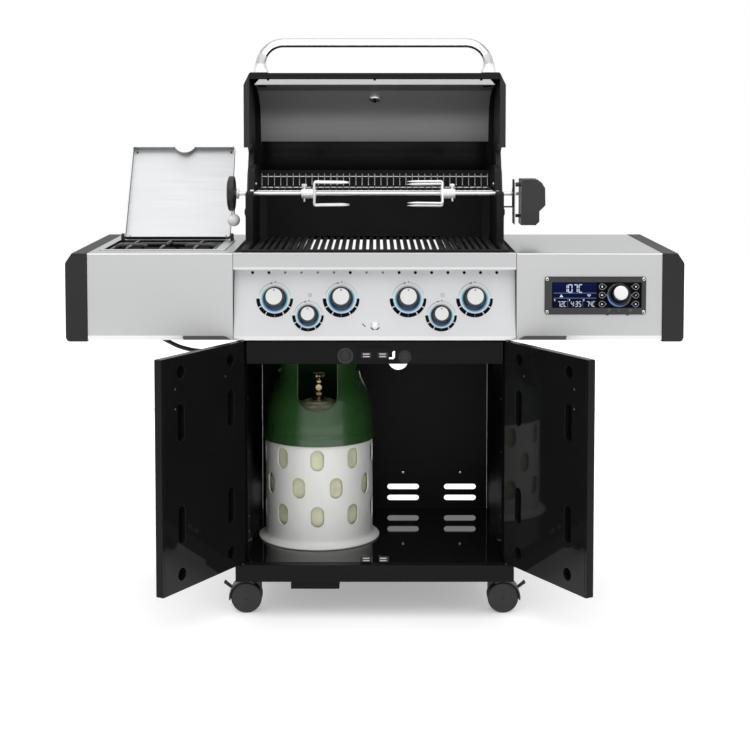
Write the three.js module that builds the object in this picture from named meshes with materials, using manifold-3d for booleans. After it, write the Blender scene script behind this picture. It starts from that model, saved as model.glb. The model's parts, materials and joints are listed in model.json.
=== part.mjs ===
// Four-burner gas barbecue grill on a cabinet cart, with side burner, rotisserie,
// digital controller and a composite gas bottle standing in the cabinet.
// Millimetres, +Z up, X across, front towards -Y. The lid, the side-burner lid and both
// doors stand open. Built in plan coordinates with Y = 0 on the front of the control
// panel; the outer group then moves the box of the whole grill onto the origin.

import * as THREE from 'three';
import { mergeVertices } from 'three/addons/utils/BufferGeometryUtils.js';
import Module from 'manifold-3d';

const wasm = await Module();
wasm.setup();

// ---------------------------------------------------------------- driving dimensions
const HALF_W = 787.5;            // half of the overall width, end cap to end cap
const SHELF_TOP = 944;           // top of both side shelves
const SHELF_BOTTOM = 722;        // lower edge of shelves and control panel
const SHELF_DEPTH = 574;
const CAP_IN = 731.6;            // inner face of the end caps
const FASCIA_HALF = 360.2;       // half width of the control panel
const FLOOR_Z = 139.5;           // cabinet floor
const APRON_Z = 96;              // lower edge of the base tray
const BASE_HALF = 358;
const BACK_Y = 567;              // inner face of the cabinet's back panel
const SIDE_IN = 328;             // inner face of the cabinet side panels
const SIDE_OUT = 350;
const BOX_HALF = 344.5;          // outer half width of the cast firebox
const BOX_IN = 324;              // inner half width of the firebox
const BOX_FRONT = 13;
const BOX_BACK = 485;
const LID_HINGE = [420, 1020];   // Y, Z of the lid's pivot
const LID_OPEN = 90;             // degrees
const LID_HALF = 344.6;          // half length of the lid's skin
const LID_CAP_IN = 345.2;
const LID_CAP_OUT = 360.8;
const SPIT = [252, 1081.5];      // Y, Z of the rotisserie rod
const SB_HINGE = [345, 955];     // Y, Z of the side-burner lid's pivot
const SB_OPEN = 125;
const SB_X = [-690, -398];       // side-burner lid, left and right edge
const DOOR_PIVOT = [338, 0];     // X, Y of a door's pivot, door closed along X
const DOOR_OPEN = 120;
const DOOR_Z = [142.5, 718];
const DOOR_T = 20;
const PANEL = [[0, 733], [40, 884]];   // Y, Z of the sloping control panel, lower and upper edge
const KNOB_Z = 825.5;            // centre height of the four large knobs
const KNOB_X = [-255.9, -85.7, 85.7, 255.9];
const SMALL_Z = 783.5;
const SMALL_X = [-170.1, 170.1];
const CTRL = [622, 838.5];       // X, Z of the controller's dial
const BOTTLE = [-152.4, 287];    // X, Y of the bottle's axis
const CASTER_X = 303;            // swivel axes
const CASTER_Y = [62, 502];
const CASTER_TRAIL = 31;
const WHEEL_R = 40;
const RAD = Math.PI / 180;

// ---------------------------------------------------------------- helpers
// A closed geometry becomes a manifold solid, turned outwards if it is inside out.
function solid(geometry) {
  let g = geometry.index ? geometry.clone() : geometry.clone();
  for (const a of Object.keys(g.attributes)) if (a !== 'position') g.deleteAttribute(a);
  g = mergeVertices(g, 1e-4);
  const p = g.attributes.position.array;
  const src = g.index.array;
  const tri = [];
  let vol = 0;
  for (let i = 0; i < src.length; i += 3) {
    const a = src[i], b = src[i + 1], c = src[i + 2];
    if (a === b || b === c || a === c) continue;
    tri.push(a, b, c);
    const ax = p[3 * a], ay = p[3 * a + 1], az = p[3 * a + 2];
    const bx = p[3 * b], by = p[3 * b + 1], bz = p[3 * b + 2];
    const cx = p[3 * c], cy = p[3 * c + 1], cz = p[3 * c + 2];
    vol += ax * (by * cz - bz * cy) - ay * (bx * cz - bz * cx) + az * (bx * cy - by * cx);
  }
  if (vol < 0) for (let i = 0; i < tri.length; i += 3) { const t = tri[i]; tri[i] = tri[i + 1]; tri[i + 1] = t; }
  return new wasm.Manifold(new wasm.Mesh({
    numProp: 3, vertProperties: new Float32Array(p), triVerts: new Uint32Array(tri),
  }));
}
const join = (...parts) => parts.flat().reduce((a, b) => a.add(b));
const cut = (a, ...tools) => tools.flat().reduce((m, t) => m.subtract(t), a);

function box(x0, x1, y0, y1, z0, z1) {
  const g = new THREE.BoxGeometry(x1 - x0, y1 - y0, z1 - z0);
  g.translate((x0 + x1) / 2, (y0 + y1) / 2, (z0 + z1) / 2);
  return solid(g);
}
const both = (f) => [f(1), f(-1)];
const mx = (s, x0, x1, ...rest) => (s > 0 ? box(x0, x1, ...rest) : box(-x1, -x0, ...rest));

function shapeOf(points) {
  const s = new THREE.Shape();
  points.forEach(([u, v], i) => (i ? s.lineTo(u, v) : s.moveTo(u, v)));
  s.closePath();
  return s;
}
function extrude(shape, depth) {
  return new THREE.ExtrudeGeometry(shape, { depth, bevelEnabled: false, curveSegments: 8 });
}
// outline in (Y, Z), extruded from x0 to x1
function prismX(points, x0, x1) {
  const g = extrude(shapeOf(points), x1 - x0);
  g.applyMatrix4(new THREE.Matrix4().makeBasis(
    new THREE.Vector3(0, 1, 0), new THREE.Vector3(0, 0, 1), new THREE.Vector3(1, 0, 0)));
  g.translate(x0, 0, 0);
  return solid(g);
}
// outline in (X, Z), extruded from y0 to y1
function prismY(points, y0, y1) {
  const g = extrude(shapeOf(points), y1 - y0);
  g.applyMatrix4(new THREE.Matrix4().makeBasis(
    new THREE.Vector3(1, 0, 0), new THREE.Vector3(0, 0, 1), new THREE.Vector3(0, -1, 0)));
  g.translate(0, y1, 0);
  return solid(g);
}
// outline in (X, Y), extruded from z0 to z1
function prismZ(points, z0, z1) {
  const g = extrude(shapeOf(points), z1 - z0);
  g.translate(0, 0, z0);
  return solid(g);
}
// round bar along an axis, centre given in the other two coordinates
function bar(axis, c, r, a, b, seg = 16, r2 = r) {
  const g = new THREE.CylinderGeometry(r2, r, b - a, seg);
  g.translate(0, (a + b) / 2, 0);
  if (axis === 'z') { g.rotateX(Math.PI / 2); g.translate(c[0], c[1], 0); }
  if (axis === 'y') g.translate(c[0], 0, c[1]);
  if (axis === 'x') { g.rotateZ(-Math.PI / 2); g.translate(0, c[0], c[1]); }
  return solid(g);
}
// profile of [radius, height] turned round the Z axis; a profile off the axis is closed on itself
function lathe(profile, seg = 24) {
  const pts = profile.map(([r, z]) => new THREE.Vector2(r, z));
  if (profile[0][0] > 0) pts.push(pts[0].clone());
  const g = new THREE.LatheGeometry(pts, seg);
  g.rotateX(Math.PI / 2);
  return solid(g);
}
function stadium(cu, cv, w, h, n = 5) {
  // upright slot outline: straight sides with half-round ends
  const r = w / 2, k = h / 2 - r, out = [];
  for (let i = 0; i <= n; i++) { const a = Math.PI * i / n; out.push([cu + r * Math.cos(a), cv + k + r * Math.sin(a)]); }
  for (let i = 0; i <= n; i++) { const a = Math.PI + Math.PI * i / n; out.push([cu + r * Math.cos(a), cv - k + r * Math.sin(a)]); }
  return out;
}
function disc(cu, cv, r, n = 14) {
  return Array.from({ length: n }, (_, i) => [cu + r * Math.cos(2 * Math.PI * i / n), cv + r * Math.sin(2 * Math.PI * i / n)]);
}
// line of (Y, Z) points given a thickness towards one side
function sheet(points, t, x0, x1) {
  const off = points.map((p, i) => {
    const a = points[Math.max(0, i - 1)], b = points[Math.min(points.length - 1, i + 1)];
    const dx = b[0] - a[0], dz = b[1] - a[1], l = Math.hypot(dx, dz);
    return [p[0] + dz / l * t, p[1] - dx / l * t];
  });
  return prismX([...points, ...off.reverse()], x0, x1);
}
function tube(points, r, sides, steps, rz = r) {
  const path = new THREE.CatmullRomCurve3(points.map((p) => new THREE.Vector3(...p)), false, 'centripetal');
  const s = shapeOf(Array.from({ length: sides }, (_, i) => [r * Math.cos(2 * Math.PI * i / sides), rz * Math.sin(2 * Math.PI * i / sides)]));
  return solid(new THREE.ExtrudeGeometry(s, { steps, extrudePath: path, bevelEnabled: false }));
}
// a short round bar from one point to another
function rod(p, q, r, seg = 8) {
  const a = new THREE.Vector3(...p), b = new THREE.Vector3(...q);
  const d = b.clone().sub(a), l = d.length();
  const g = new THREE.CylinderGeometry(r, r, l, seg);
  g.translate(0, l / 2, 0);
  g.applyQuaternion(new THREE.Quaternion().setFromUnitVectors(new THREE.Vector3(0, 1, 0), d.normalize()));
  g.translate(a.x, a.y, a.z);
  return solid(g);
}

// ---------------------------------------------------------------- finishes
const mat = (color, roughness, metalness) => new THREE.MeshStandardMaterial({ color, roughness, metalness });
const STEEL = () => mat(0xc9cbcc, 0.35, 0.9);
const CHROME = () => mat(0xe6e8ea, 0.12, 1.0);
const BLACK = () => mat(0x1c1d1e, 0.45, 0.1);
const ENAMEL = () => mat(0x141516, 0.3, 0.1);
const CAST = () => mat(0x2a2b2c, 0.6, 0.3);
const PLASTIC = () => mat(0x3a3b3c, 0.5, 0.0);

const plan = new THREE.Group();
function put(parent, name, m, material, origin = [0, 0, 0]) {
  const out = m.getMesh();
  const g = new THREE.BufferGeometry();
  g.setAttribute('position', new THREE.BufferAttribute(Float32Array.from(out.vertProperties), 3));
  g.setIndex(new THREE.BufferAttribute(Uint32Array.from(out.triVerts), 1));
  g.translate(-origin[0], -origin[1], -origin[2]);
  g.computeVertexNormals();
  const node = new THREE.Mesh(g, material);
  node.name = name;
  parent.add(node);
  return node;
}

// ---------------------------------------------------------------- cart
{
  let tray = cut(box(-BASE_HALF, BASE_HALF, -8, 572, APRON_Z, FLOOR_Z), box(-354, 354, -4, 568, 80, 135.5));
  tray = join(tray,
    box(-216, -91, 3, 54, 74.5, 136),                    // bracket box below the front apron
    ...both((s) => mx(s, 11, 37, 8, 20, 139, 159)),      // lower door catches
    ...both((s) => mx(s, CASTER_X - 24, CASTER_X + 24, CASTER_Y[0] - 30, CASTER_Y[0] + 30, 96, 136)),
    ...both((s) => mx(s, CASTER_X - 24, CASTER_X + 24, CASTER_Y[1] - 30, CASTER_Y[1] + 30, 96, 136)));
  put(plan, 'base_tray', tray, BLACK());

  for (const [name, s] of [['side_panel_left', -1], ['side_panel_right', 1]]) {
    let p = mx(s, SIDE_IN, SIDE_OUT, 24, 571.5, FLOOR_Z + 0.4, 741.4);
    if (s < 0) p = cut(p, bar('x', [100, 692], 13, -360, -320, 14));   // pass for the side-burner hose
    put(plan, name, p, BLACK());
  }

  const slots = [];
  for (const s of [1, -1]) for (const [a, b] of [[36.9, 129.5], [202.9, 296.4]]) for (const z of [203, 170.4]) {
    const r = 8.2, pts = [];
    for (let i = 0; i <= 4; i++) { const t = -Math.PI / 2 + Math.PI * i / 4; pts.push([b - r + r * Math.cos(t), z + r * Math.sin(t)]); }
    for (let i = 0; i <= 4; i++) { const t = Math.PI / 2 + Math.PI * i / 4; pts.push([a + r + r * Math.cos(t), z + r * Math.sin(t)]); }
    slots.push(prismY(pts.map(([u, v]) => [s * u, v]), BACK_Y - 5, BACK_Y + 10));
  }
  put(plan, 'back_panel', cut(box(-327.6, 327.6, BACK_Y, BACK_Y + 4.5, FLOOR_Z + 0.4, 696), ...slots,
    prismY(disc(68.5, 577, 29, 18), BACK_Y - 5, BACK_Y + 10)), BLACK());

  let rail = prismX([[5, 717], [5, 675.5], [15, 658], [18, 660], [8.6, 676.6], [8.6, 713.4], [45, 713.4], [45, 717]], -327.5, 327.5);
  rail = join(rail,
    bar('y', [-75, 681], 13, 2, 8, 16), bar('y', [77, 679], 13, 2, 8, 16),
    box(-43, 41, 2.5, 6, 670, 703));
  rail = cut(rail, box(45.3, 51.8, -5, 14, 671.2, 693), box(36.5, 51.8, -5, 14, 671.2, 677));  // J-shaped cut-out
  put(plan, 'front_rail', rail, BLACK());
}

// ---------------------------------------------------------------- control panel, shelves, caps
const LEAN = Math.atan2(PANEL[1][0] - PANEL[0][0], PANEL[1][1] - PANEL[0][1]);
const panelY = (z) => PANEL[0][0] + (z - PANEL[0][1]) * Math.tan(LEAN);
const along = (x, y, z, t) => [x, y - t * Math.cos(LEAN), z + t * Math.sin(LEAN)];   // point on a knob's axis
const onPanel = (x, z, t) => along(x, panelY(z), z, t);
{
  let f = prismX([[12.6, 945], [0, 945], [0, 905], [40, 905], [40, 884], [0, 733], [0, 721], [20, 721], [20, 724.5],
    [3.5, 724.5], [3.5, 732.5], [43.5, 883.6], [43.5, 908.5], [3.5, 908.5], [3.5, 941.5], [12.6, 941.5]], -FASCIA_HALF, FASCIA_HALF);
  const pieces = [];
  for (const [xs, z, r] of [[KNOB_X, KNOB_Z, 38.5], [SMALL_X, SMALL_Z, 34]]) for (const x of xs) {
    pieces.push(cut(rod(onPanel(x, z, -1), onPanel(x, z, 4.5), r, 24), rod(onPanel(x, z, 1), onPanel(x, z, 8), r - 7.6, 24)));
    pieces.push(rod(onPanel(x, z, -44), onPanel(x, z, -2), 11, 8), rod(onPanel(x, z, 0.5), onPanel(x, z, 13), 4.4, 8));
  }
  const [, my, mz] = onPanel(0, KNOB_Z, -38);
  pieces.push(bar('x', [my, mz], 11, -300, 300, 8));                   // gas manifold
  for (const x of SMALL_X) pieces.push(box(x - 6, x + 6, my - 6, my + 6, 771, mz));
  f = join(f, ...pieces);
  f = cut(f, rod(onPanel(0.8, 759, -8), onPanel(0.8, 759, 5), 6.9, 20));  // hole for the push button
  put(plan, 'fascia', f, STEEL());

  const button = join(rod(onPanel(0.8, 759, 0.4), onPanel(0.8, 759, 3.6), 6.4, 16), rod(onPanel(0.8, 759, -6), onPanel(0.8, 759, 1), 4, 10));
  put(plan, 'igniter_button', button, CHROME());

  // a turned knob whose local +Z is its axis, square to the panel
  const knob = (name, pos, profile, material, pointer) => {
    const g = new THREE.Group();
    g.position.set(...pos);
    g.rotation.x = Math.PI / 2 - LEAN;
    plan.add(g);
    const m = lathe(profile, 20);
    put(g, name, pointer ? join(m, pointer) : m, material);
  };
  const large = [[0, 14], [5.2, 14], [5.2, 1.6], [29.8, 1.6], [29.8, 7], [25, 10], [23.6, 38.4], [21.5, 40.4], [0, 40.4]];
  const small = [[0, 14], [5.2, 14], [5.2, 1.6], [26, 1.6], [26, 7], [21, 10], [19.4, 34.4], [17.5, 36.4], [0, 36.4]];
  KNOB_X.forEach((x, i) => knob(`knob_${i + 1}`, onPanel(x, KNOB_Z, 0), large, mat(0xd8dadb, 0.25, 0.8), box(-1.6, 1.6, 12, 21, 38, 41)));
  SMALL_X.forEach((x, i) => knob(i ? 'knob_small_right' : 'knob_small_left', onPanel(x, SMALL_Z, 0), small, mat(0xd8dadb, 0.25, 0.8), box(-1.4, 1.4, 9, 17, 34, 37)));

  // digital controller on the right shelf's front
  const [cx, cz] = CTRL;
  let d = join(box(432.3, 690.3, -3.6, -0.4, 787.8, 885), bar('y', CTRL, 30, -6, -3, 28));
  d = cut(d, box(451, 679.4, -10, -2.8, 804.7, 870.7).subtract(bar('y', CTRL, 30, -20, 0, 28)), bar('y', CTRL, 25.6, -12, -3.4, 24));
  d = join(d, rod(along(cx, 0, cz, -4), along(cx, 0, cz, 8.8), 9, 12).subtract(box(600, 650, -0.4, 20, 800, 880)));
  put(plan, 'display_module', d, BLACK());
  knob('controller_knob', along(cx, 0, cz, 0), [[0, 9.4], [18.8, 9.4], [19.6, 12], [18.9, 30], [17.6, 33.2], [15, 34.4], [0, 34.8]], CHROME(), null);

  for (const [name, s] of [['shelf_left', -1], ['shelf_right', 1]]) {
    let m = cut(mx(s, 361.2, 731.2, 0, SHELF_DEPTH, SHELF_BOTTOM, SHELF_TOP), mx(s, 366, 726.4, 5, 569, 700, 939.5));
    m = join(m, mx(s, 345.1, 367, 46, 560, 872, 928));                  // carrying rail beside the firebox
    if (s < 0) m = cut(m, box(-707.5, -408.5, 84.5, 367.5, 930, 960));   // opening for the side burner
    put(plan, name, m, STEEL());
    const out = [[CAP_IN, 718], [781, 718], [HALF_W, 728], [HALF_W, 917], [769, SHELF_TOP], [CAP_IN, SHELF_TOP]];
    put(plan, s < 0 ? 'end_cap_left' : 'end_cap_right', prismY(out.map(([x, z]) => [s * x, z]), -3, 577), PLASTIC());
  }
}

// ---------------------------------------------------------------- side burner
{
  let bowl = join(box(-714, -386, 74, 376, SHELF_TOP + 0.4, SHELF_TOP + 2.4), box(-706.5, -409.5, 85.5, 366.5, 900, SHELF_TOP + 1));
  bowl = cut(bowl, box(-703.5, -412.5, 88.5, 363.5, 903, 960));
  bowl = join(bowl, bar('z', [-558, 215], 42, 902, 926, 20), bar('z', [-558, 215], 34, 902, 931, 20),
    box(-698, -690.6, 336, 370, SHELF_TOP + 1, 966), box(-397.4, -390, 336, 370, SHELF_TOP + 1, 966));
  put(plan, 'side_burner_bowl', bowl, ENAMEL());

  let grate = cut(box(-698, -418, 94, 332, 936, 943), box(-690, -426, 102, 324, 930, 950));
  for (const x of [-646, -558, -470]) grate = join(grate, box(x - 4, x + 4, 98, 184, 936, 950), box(x - 4, x + 4, 246, 328, 936, 950));
  grate = join(grate, box(-694, -610, 211, 219, 936, 948.5), box(-506, -422, 211, 219, 936, 948.5));
  for (const x of [-697, -427]) for (const y of [95, 323]) grate = join(grate, box(x, x + 8, y, y + 8, 903.5, 940));
  put(plan, 'side_burner_grate', grate, CAST());

  // lid, drawn closed in plan coordinates and turned open about its hinge
  const g = new THREE.Group();
  g.position.set(0, SB_HINGE[0], SB_HINGE[1]);
  g.rotation.x = -SB_OPEN * RAD;
  plan.add(g);
  let lid = cut(box(SB_X[0], SB_X[1], 48, 346, 949, 968.5), box(SB_X[0] + 2.5, SB_X[1] - 2.5, 50.5, 343.5, 940, 966));
  lid = cut(lid, bar('z', [-541, 36], 31, 930, 980, 20));
  put(g, 'side_burner_lid', lid, STEEL(), [0, ...SB_HINGE]);

  put(plan, 'side_burner_hose', tube([
    [-610, 118, 800], [-596, 112, 765], [-568, 103, 722], [-536, 100, 702], [-505, 100, 688], [-462, 100, 679],
    [-415, 100, 680], [-372, 100, 688], [-339, 100, 692], [-316, 97, 697], [-302, 82, 711], [-298, 60, 735], [-297, 44, 765], [-296, 40, 797],
  ], 5.6, 6, 36), BLACK());
}

// ---------------------------------------------------------------- firebox and what is in it
{
  const side = [[13, 952], [13, 938], [48, 908], [48, 880], [90, 850], [90, 800], [130, 742], [430, 742], [485, 800], [485, 1128],
    [430, 1149], [330, 1156], [296, 1150], [282, 1140], [264, 1094], [206, 1088], [200, 1080], [200, 952]];
  let m = prismX(side, -BOX_HALF, BOX_HALF);
  m = cut(m, prismX([[28, 1300], [28, 931], [62, 903], [62, 888], [103, 858], [103, 804], [137, 752], [424, 752], [470, 806], [470, 1300]], -BOX_IN, BOX_IN));
  for (const s of [1, -1]) {
    m = cut(m, prismZ([[s * 333.9, 12], [s * 350, 12], [s * 350, 39]], 700, 1000));
    m = cut(m, join(bar('x', [SPIT[0], SPIT[1]], 10.5, s > 0 ? 320 : -350, s > 0 ? 350 : -320, 16),
      mx(s, 320, 350, SPIT[0] - 10.5, SPIT[0] + 10.5, SPIT[1], 1200)));
    m = join(m, prismZ([[s * 326, 472], [s * 304, 472], [s * 326, 448]], 760, 1120));      // cast corner fillet
    m = join(m, bar('x', LID_HINGE, 5, s > 0 ? 338 : -355, s > 0 ? 355 : -338, 12));        // lid pivot pin
    m = join(m, mx(s, 93, 97, 132, 560, 700.5, 744), mx(s, 84, 97, 132, 560, 697.5, 701.2)); // grease tray rails
  }
  m = cut(m, box(-40, 40, 250, 330, 730, 760), box(-186, 186, 464, 492, 905, 948)); // drain and rear slot
  put(plan, 'firebox', m, CAST());

  let tray = cut(box(-91.5, 91.5, 134, 573, 702, 726), box(-88.5, 88.5, 137, 570, 705, 740));
  tray = join(tray, box(-60, 60, 572, 590, 702, 705));
  put(plan, 'grease_tray', tray, STEEL());

  const xs = [-228, -76, 76, 228];
  let burners = bar('x', [432, 800], 7, -236, 236, 10);
  for (const x of xs) burners = join(burners, bar('y', [x, 800], 14, 122, 446, 14), box(x - 5, x + 5, 400, 416, 752.6, 790));
  put(plan, 'burner_set', burners, STEEL());

  const zig = [], zig2 = [];
  zig.push([-300, 852]);
  xs.forEach((x) => { zig.push([x - 62, 852], [x, 884], [x + 62, 852]); });
  zig.push([300, 852]);
  zig.forEach(([x, z]) => zig2.push([x, z + 2.5]));
  put(plan, 'flame_tamers', prismY([...zig, ...zig2.reverse()], 116, 452), STEEL());

  for (const [name, s] of [['grid_left', -1], ['grid_right', 1]]) {
    let grid = join(mx(s, 5, 318, 38, 48, 932, 941), mx(s, 200, 308, 450, 460, 932, 941));
    grid = join(grid, mx(s, 311, 318, 38, 446, 932, 946));
    for (let i = 0; i < 17; i++) { const x = 9.25 + i * 18.5; grid = join(grid, mx(s, x - 5.6, x + 5.6, 36, 464, 935, 948)); }
    put(plan, name, grid, CAST());
  }

  let rack = join(bar('x', [301, 1085.2], 3.2, -323.2, 323.2, 8), box(-318, 318, 426, 431, 1086.5, 1090.5));
  let fence = box(-318, 318, 433.8, 437.8, 1116.5, 1120.5);
  for (let i = 0; i <= 18; i++) {
    const x = -316.8 + i * 35.2;
    rack = join(rack, prismX([[300, 1083.2], [432.2, 1088.8], [432.2, 1092.2], [300, 1086.6]], x - 1.7, x + 1.7));
    fence = join(fence, box(x - 1.7, x + 1.7, 432.6, 436, 1089, 1127));
  }
  put(plan, 'rack_fence', fence, CHROME());
  put(plan, 'warming_rack', rack, CHROME());
}

// ---------------------------------------------------------------- lid, drawn closed and turned open
{
  const g = new THREE.Group();
  g.position.set(0, ...LID_HINGE);
  g.rotation.x = -LID_OPEN * RAD;
  plan.add(g);
  const o = [0, ...LID_HINGE];
  const outer = [[33, 958], [36, 1010], [54, 1090], [84, 1150], [134, 1200], [226, 1228], [300, 1236], [380, 1230], [446, 1206], [490, 1160], [505, 1100]];
  let skin = sheet(outer, 3, -LID_HALF, LID_HALF);
  skin = join(skin, prismX([[33.4, 958], [49.5, 958], [49.5, 961], [35.6, 961]], -LID_HALF, LID_HALF));
  const n = [-0.85, 0.527], c = [84, 1150];                    // outward normal and place of the thermometer
  const at = (t) => [0, c[0] + n[0] * t, c[1] + n[1] * t];
  skin = cut(skin, rod(at(20), at(-12), 7.5, 14));
  put(g, 'lid_skin', skin, STEEL(), o);

  const inner = [[50.5, 958], [64, 958], [66, 1020], [79, 1090], [104, 1150], [140, 1193], [227, 1215]];
  let liner = sheet(inner.slice(1), -2, -331, 331);
  liner = join(liner, prismX([[50.3, 958], [64.5, 958], [64.5, 960.4], [50.3, 960.4]], -331, 331));
  liner = cut(liner, rod(at(20), at(-60), 7.5, 14));
  put(g, 'lid_liner', liner, STEEL(), o);

  const arc = [];
  for (let a = 32; a >= -19; a -= 6.375) arc.push([LID_HINGE[0] - 192.8 * Math.cos(a * RAD), LID_HINGE[1] + 192.8 * Math.sin(a * RAD)]);
  arc[arc.length - 1] = [237.6, 956.5];
  const lobe = [];
  for (let a = -150; a >= -330; a -= 30) lobe.push([LID_HINGE[0] - 26 * Math.cos(a * RAD) * -1, LID_HINGE[1] + 26 * Math.sin(a * RAD) * -1]);
  const edge = [[28, 956.5], [31, 1012], [49, 1093], [80, 1154], [131, 1206], [225, 1234], [300, 1242], [381, 1236], [450, 1212], [495, 1164], [511, 1104], [504, 1096], [462, 1062]];
  const back = [[446, 1014], [433, 998], [415, 995], [399, 1005], [394, 1022], [398, 1036]];
  for (const [name, s] of [['lid_cap_left', -1], ['lid_cap_right', 1]]) {
    let m = prismX([...edge, ...back, ...arc], s > 0 ? LID_CAP_IN : -LID_CAP_OUT, s > 0 ? LID_CAP_OUT : -LID_CAP_IN);
    m = cut(m, prismZ([[s * 345, 20], [s * 345, 33], [s * 361.2, 66], [s * 366, 66], [s * 366, 20]], 900, 1100));
    m = cut(m, bar('x', LID_HINGE, 5.6, s > 0 ? 335 : -365, s > 0 ? 365 : -335, 12));
    put(g, name, m, CAST(), o);
  }

  // bail handle standing off the front of the lid
  const pts = [], hx = 317, hy = -50.8, r = 64, z = 1005;
  pts.push([-hx, 30, z], [-hx, 18, z]);
  for (let a = 0; a <= 90; a += 18) pts.push([-hx + r - r * Math.cos(a * RAD), hy + r - r * Math.sin(a * RAD), z]);
  pts.push([-130, hy, z], [0, hy, z], [130, hy, z]);
  for (let a = 90; a >= 0; a -= 18) pts.push([hx - r + r * Math.cos(a * RAD), hy + r - r * Math.sin(a * RAD), z]);
  pts.push([hx, 18, z], [hx, 30, z]);
  let handle = tube(pts, 12.5, 10, 34, 12.5);
  for (const s of [1, -1]) handle = join(handle, mx(s, 294, 336, 16, 33.8, z - 17, z + 17));
  put(g, 'lid_handle', handle, CHROME(), o);

  const thermo = join(rod(at(12), at(3.2), 38, 24), rod(at(5), at(-44), 5, 10), rod(at(-30), at(-35), 12, 6));
  put(g, 'lid_thermometer', thermo, CHROME(), o);
}

// ---------------------------------------------------------------- doors, drawn closed and turned open
for (const [name, s] of [['door_left', -1], ['door_right', 1]]) {
  const g = new THREE.Group();
  g.position.set(s * DOOR_PIVOT[0], DOOR_PIVOT[1], 0);
  g.rotation.z = s * DOOR_OPEN * RAD;
  plan.add(g);
  let m = mx(s, 2, 348, -DOOR_T, 0, ...DOOR_Z);
  const pockets = [];
  for (const x of [287, 79]) {
    for (const z of [678, 182.5]) pockets.push(prismY(disc(s * x, z, 15.5, 10), -12, 5));
    for (const z of [555.5, 304.7]) pockets.push(prismY(stadium(s * x, z, 27, 92, 3), -12, 5));
  }
  m = cut(m, ...pockets);
  const zh = 589;
  m = join(m, bar('x', [-46, zh], 6, s > 0 ? 36 : -156, s > 0 ? 156 : -36, 12),
    bar('y', [s * 50, zh], 4.5, -46, -19, 10), bar('y', [s * 142, zh], 4.5, -46, -19, 10));
  put(g, name, m, BLACK(), [s * DOOR_PIVOT[0], DOOR_PIVOT[1], 0]);
}

// ---------------------------------------------------------------- rotisserie
{
  const [y, z] = SPIT;
  let spit = rod([-388, y, z], [392, y, z], 5.35, 8);
  put(plan, 'spit_collar', cut(bar('x', [y, z], 10.3, -336, -326, 16), bar('x', [y, z], 6.1, -340, -320, 12)), CHROME());
  // collar with a thumbscrew, and two U-shaped prongs
  const fork = (xc, dir, twist) => {
    const turn = new THREE.Matrix4().makeRotationX(twist * RAD);
    const P = (u, v, w) => { const q = new THREE.Vector3(u * dir, v, w).applyMatrix4(turn); return [xc + q.x, y + q.y, z + q.z]; };
    let m = bar('x', [y, z], 13.3, xc - 19.5, xc + 19.5, 14);
    m = join(m, rod(P(-12, 0, 8), P(-12, 0, 24), 3.4, 6), rod(P(-12, 0, 19), P(-12, 0, 26), 7, 8));
    for (const v of [-11, 11]) {
      m = join(m, rod(P(15, v, -32.6), P(15, v, 32.6), 3.2, 6));
      for (const w of [-31, 31]) m = join(m, rod(P(13.2, v, w), P(109, v * 1.05, w * 0.98), 3.2, 6));
    }
    spit = join(spit, m);
  };
  fork(-177.5, 1, 4);
  fork(197, -1, -22);
  put(plan, 'spit_rod', spit, CHROME());
  let grip = lathe([[0, -10.6], [12, -12], [24, -12.8], [35, -12], [46, -8], [47, 4], [42, 8], [0, 9.8]], 20)
    .transform([0, 0, -1, 0, 0, 1, 0, 0, 1, 0, 0, 0, 0, 0, 0, 1]).translate([-384, y, z]);
  const ball = new THREE.SphereGeometry(17, 12, 8);
  ball.translate(-380, y, z - 72);
  grip = join(grip, rod([-381, y, z - 40], [-381, y, z - 62], 4, 8), solid(ball), bar('x', [y, z], 14, -376, -365.5, 18));
  grip = cut(grip, bar('x', [y, z], 5.9, -389, -360, 12));
  put(plan, 'spit_grip', grip, PLASTIC());

  let br = join(box(345.1, 374, 241, 263, 1044.5, 1047.5), box(371, 374, 238, 266, 1044.5, 1096), box(373.8, 376, 215, 289, 1000, 1120));
  br = cut(br, bar('x', [y, z], 8, 365, 380, 14));
  put(plan, 'motor_bracket', br, BLACK());
  let mo = prismY([[391.5, 999], [430, 999], [440, 1008], [440, 1036], [456, 1052], [455, 1098], [446, 1113], [434, 1121], [391.5, 1121]], 212, 292);
  for (const [yy, zz] of [[228, 1106], [276, 1106], [252, 1022]]) mo = join(mo, bar('x', [yy, zz], 4.5, 376.5, 393, 8));
  mo = cut(mo, bar('x', [y, z], 6.4, 388, 402, 12), box(435.4, 448, 243, 261, 1008.4, 1030));
  put(plan, 'motor', mo, PLASTIC());
  const sw = new THREE.Group();
  sw.position.set(439.6, 252, 1019.2);
  sw.rotation.y = 7 * RAD;
  plan.add(sw);
  put(sw, 'motor_switch', prismY([[-2, -8], [2.6, -8], [0.8, 0], [2.6, 8], [-2, 8]], -8, 8), mat(0x8c1420, 0.4, 0.0));
}

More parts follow.
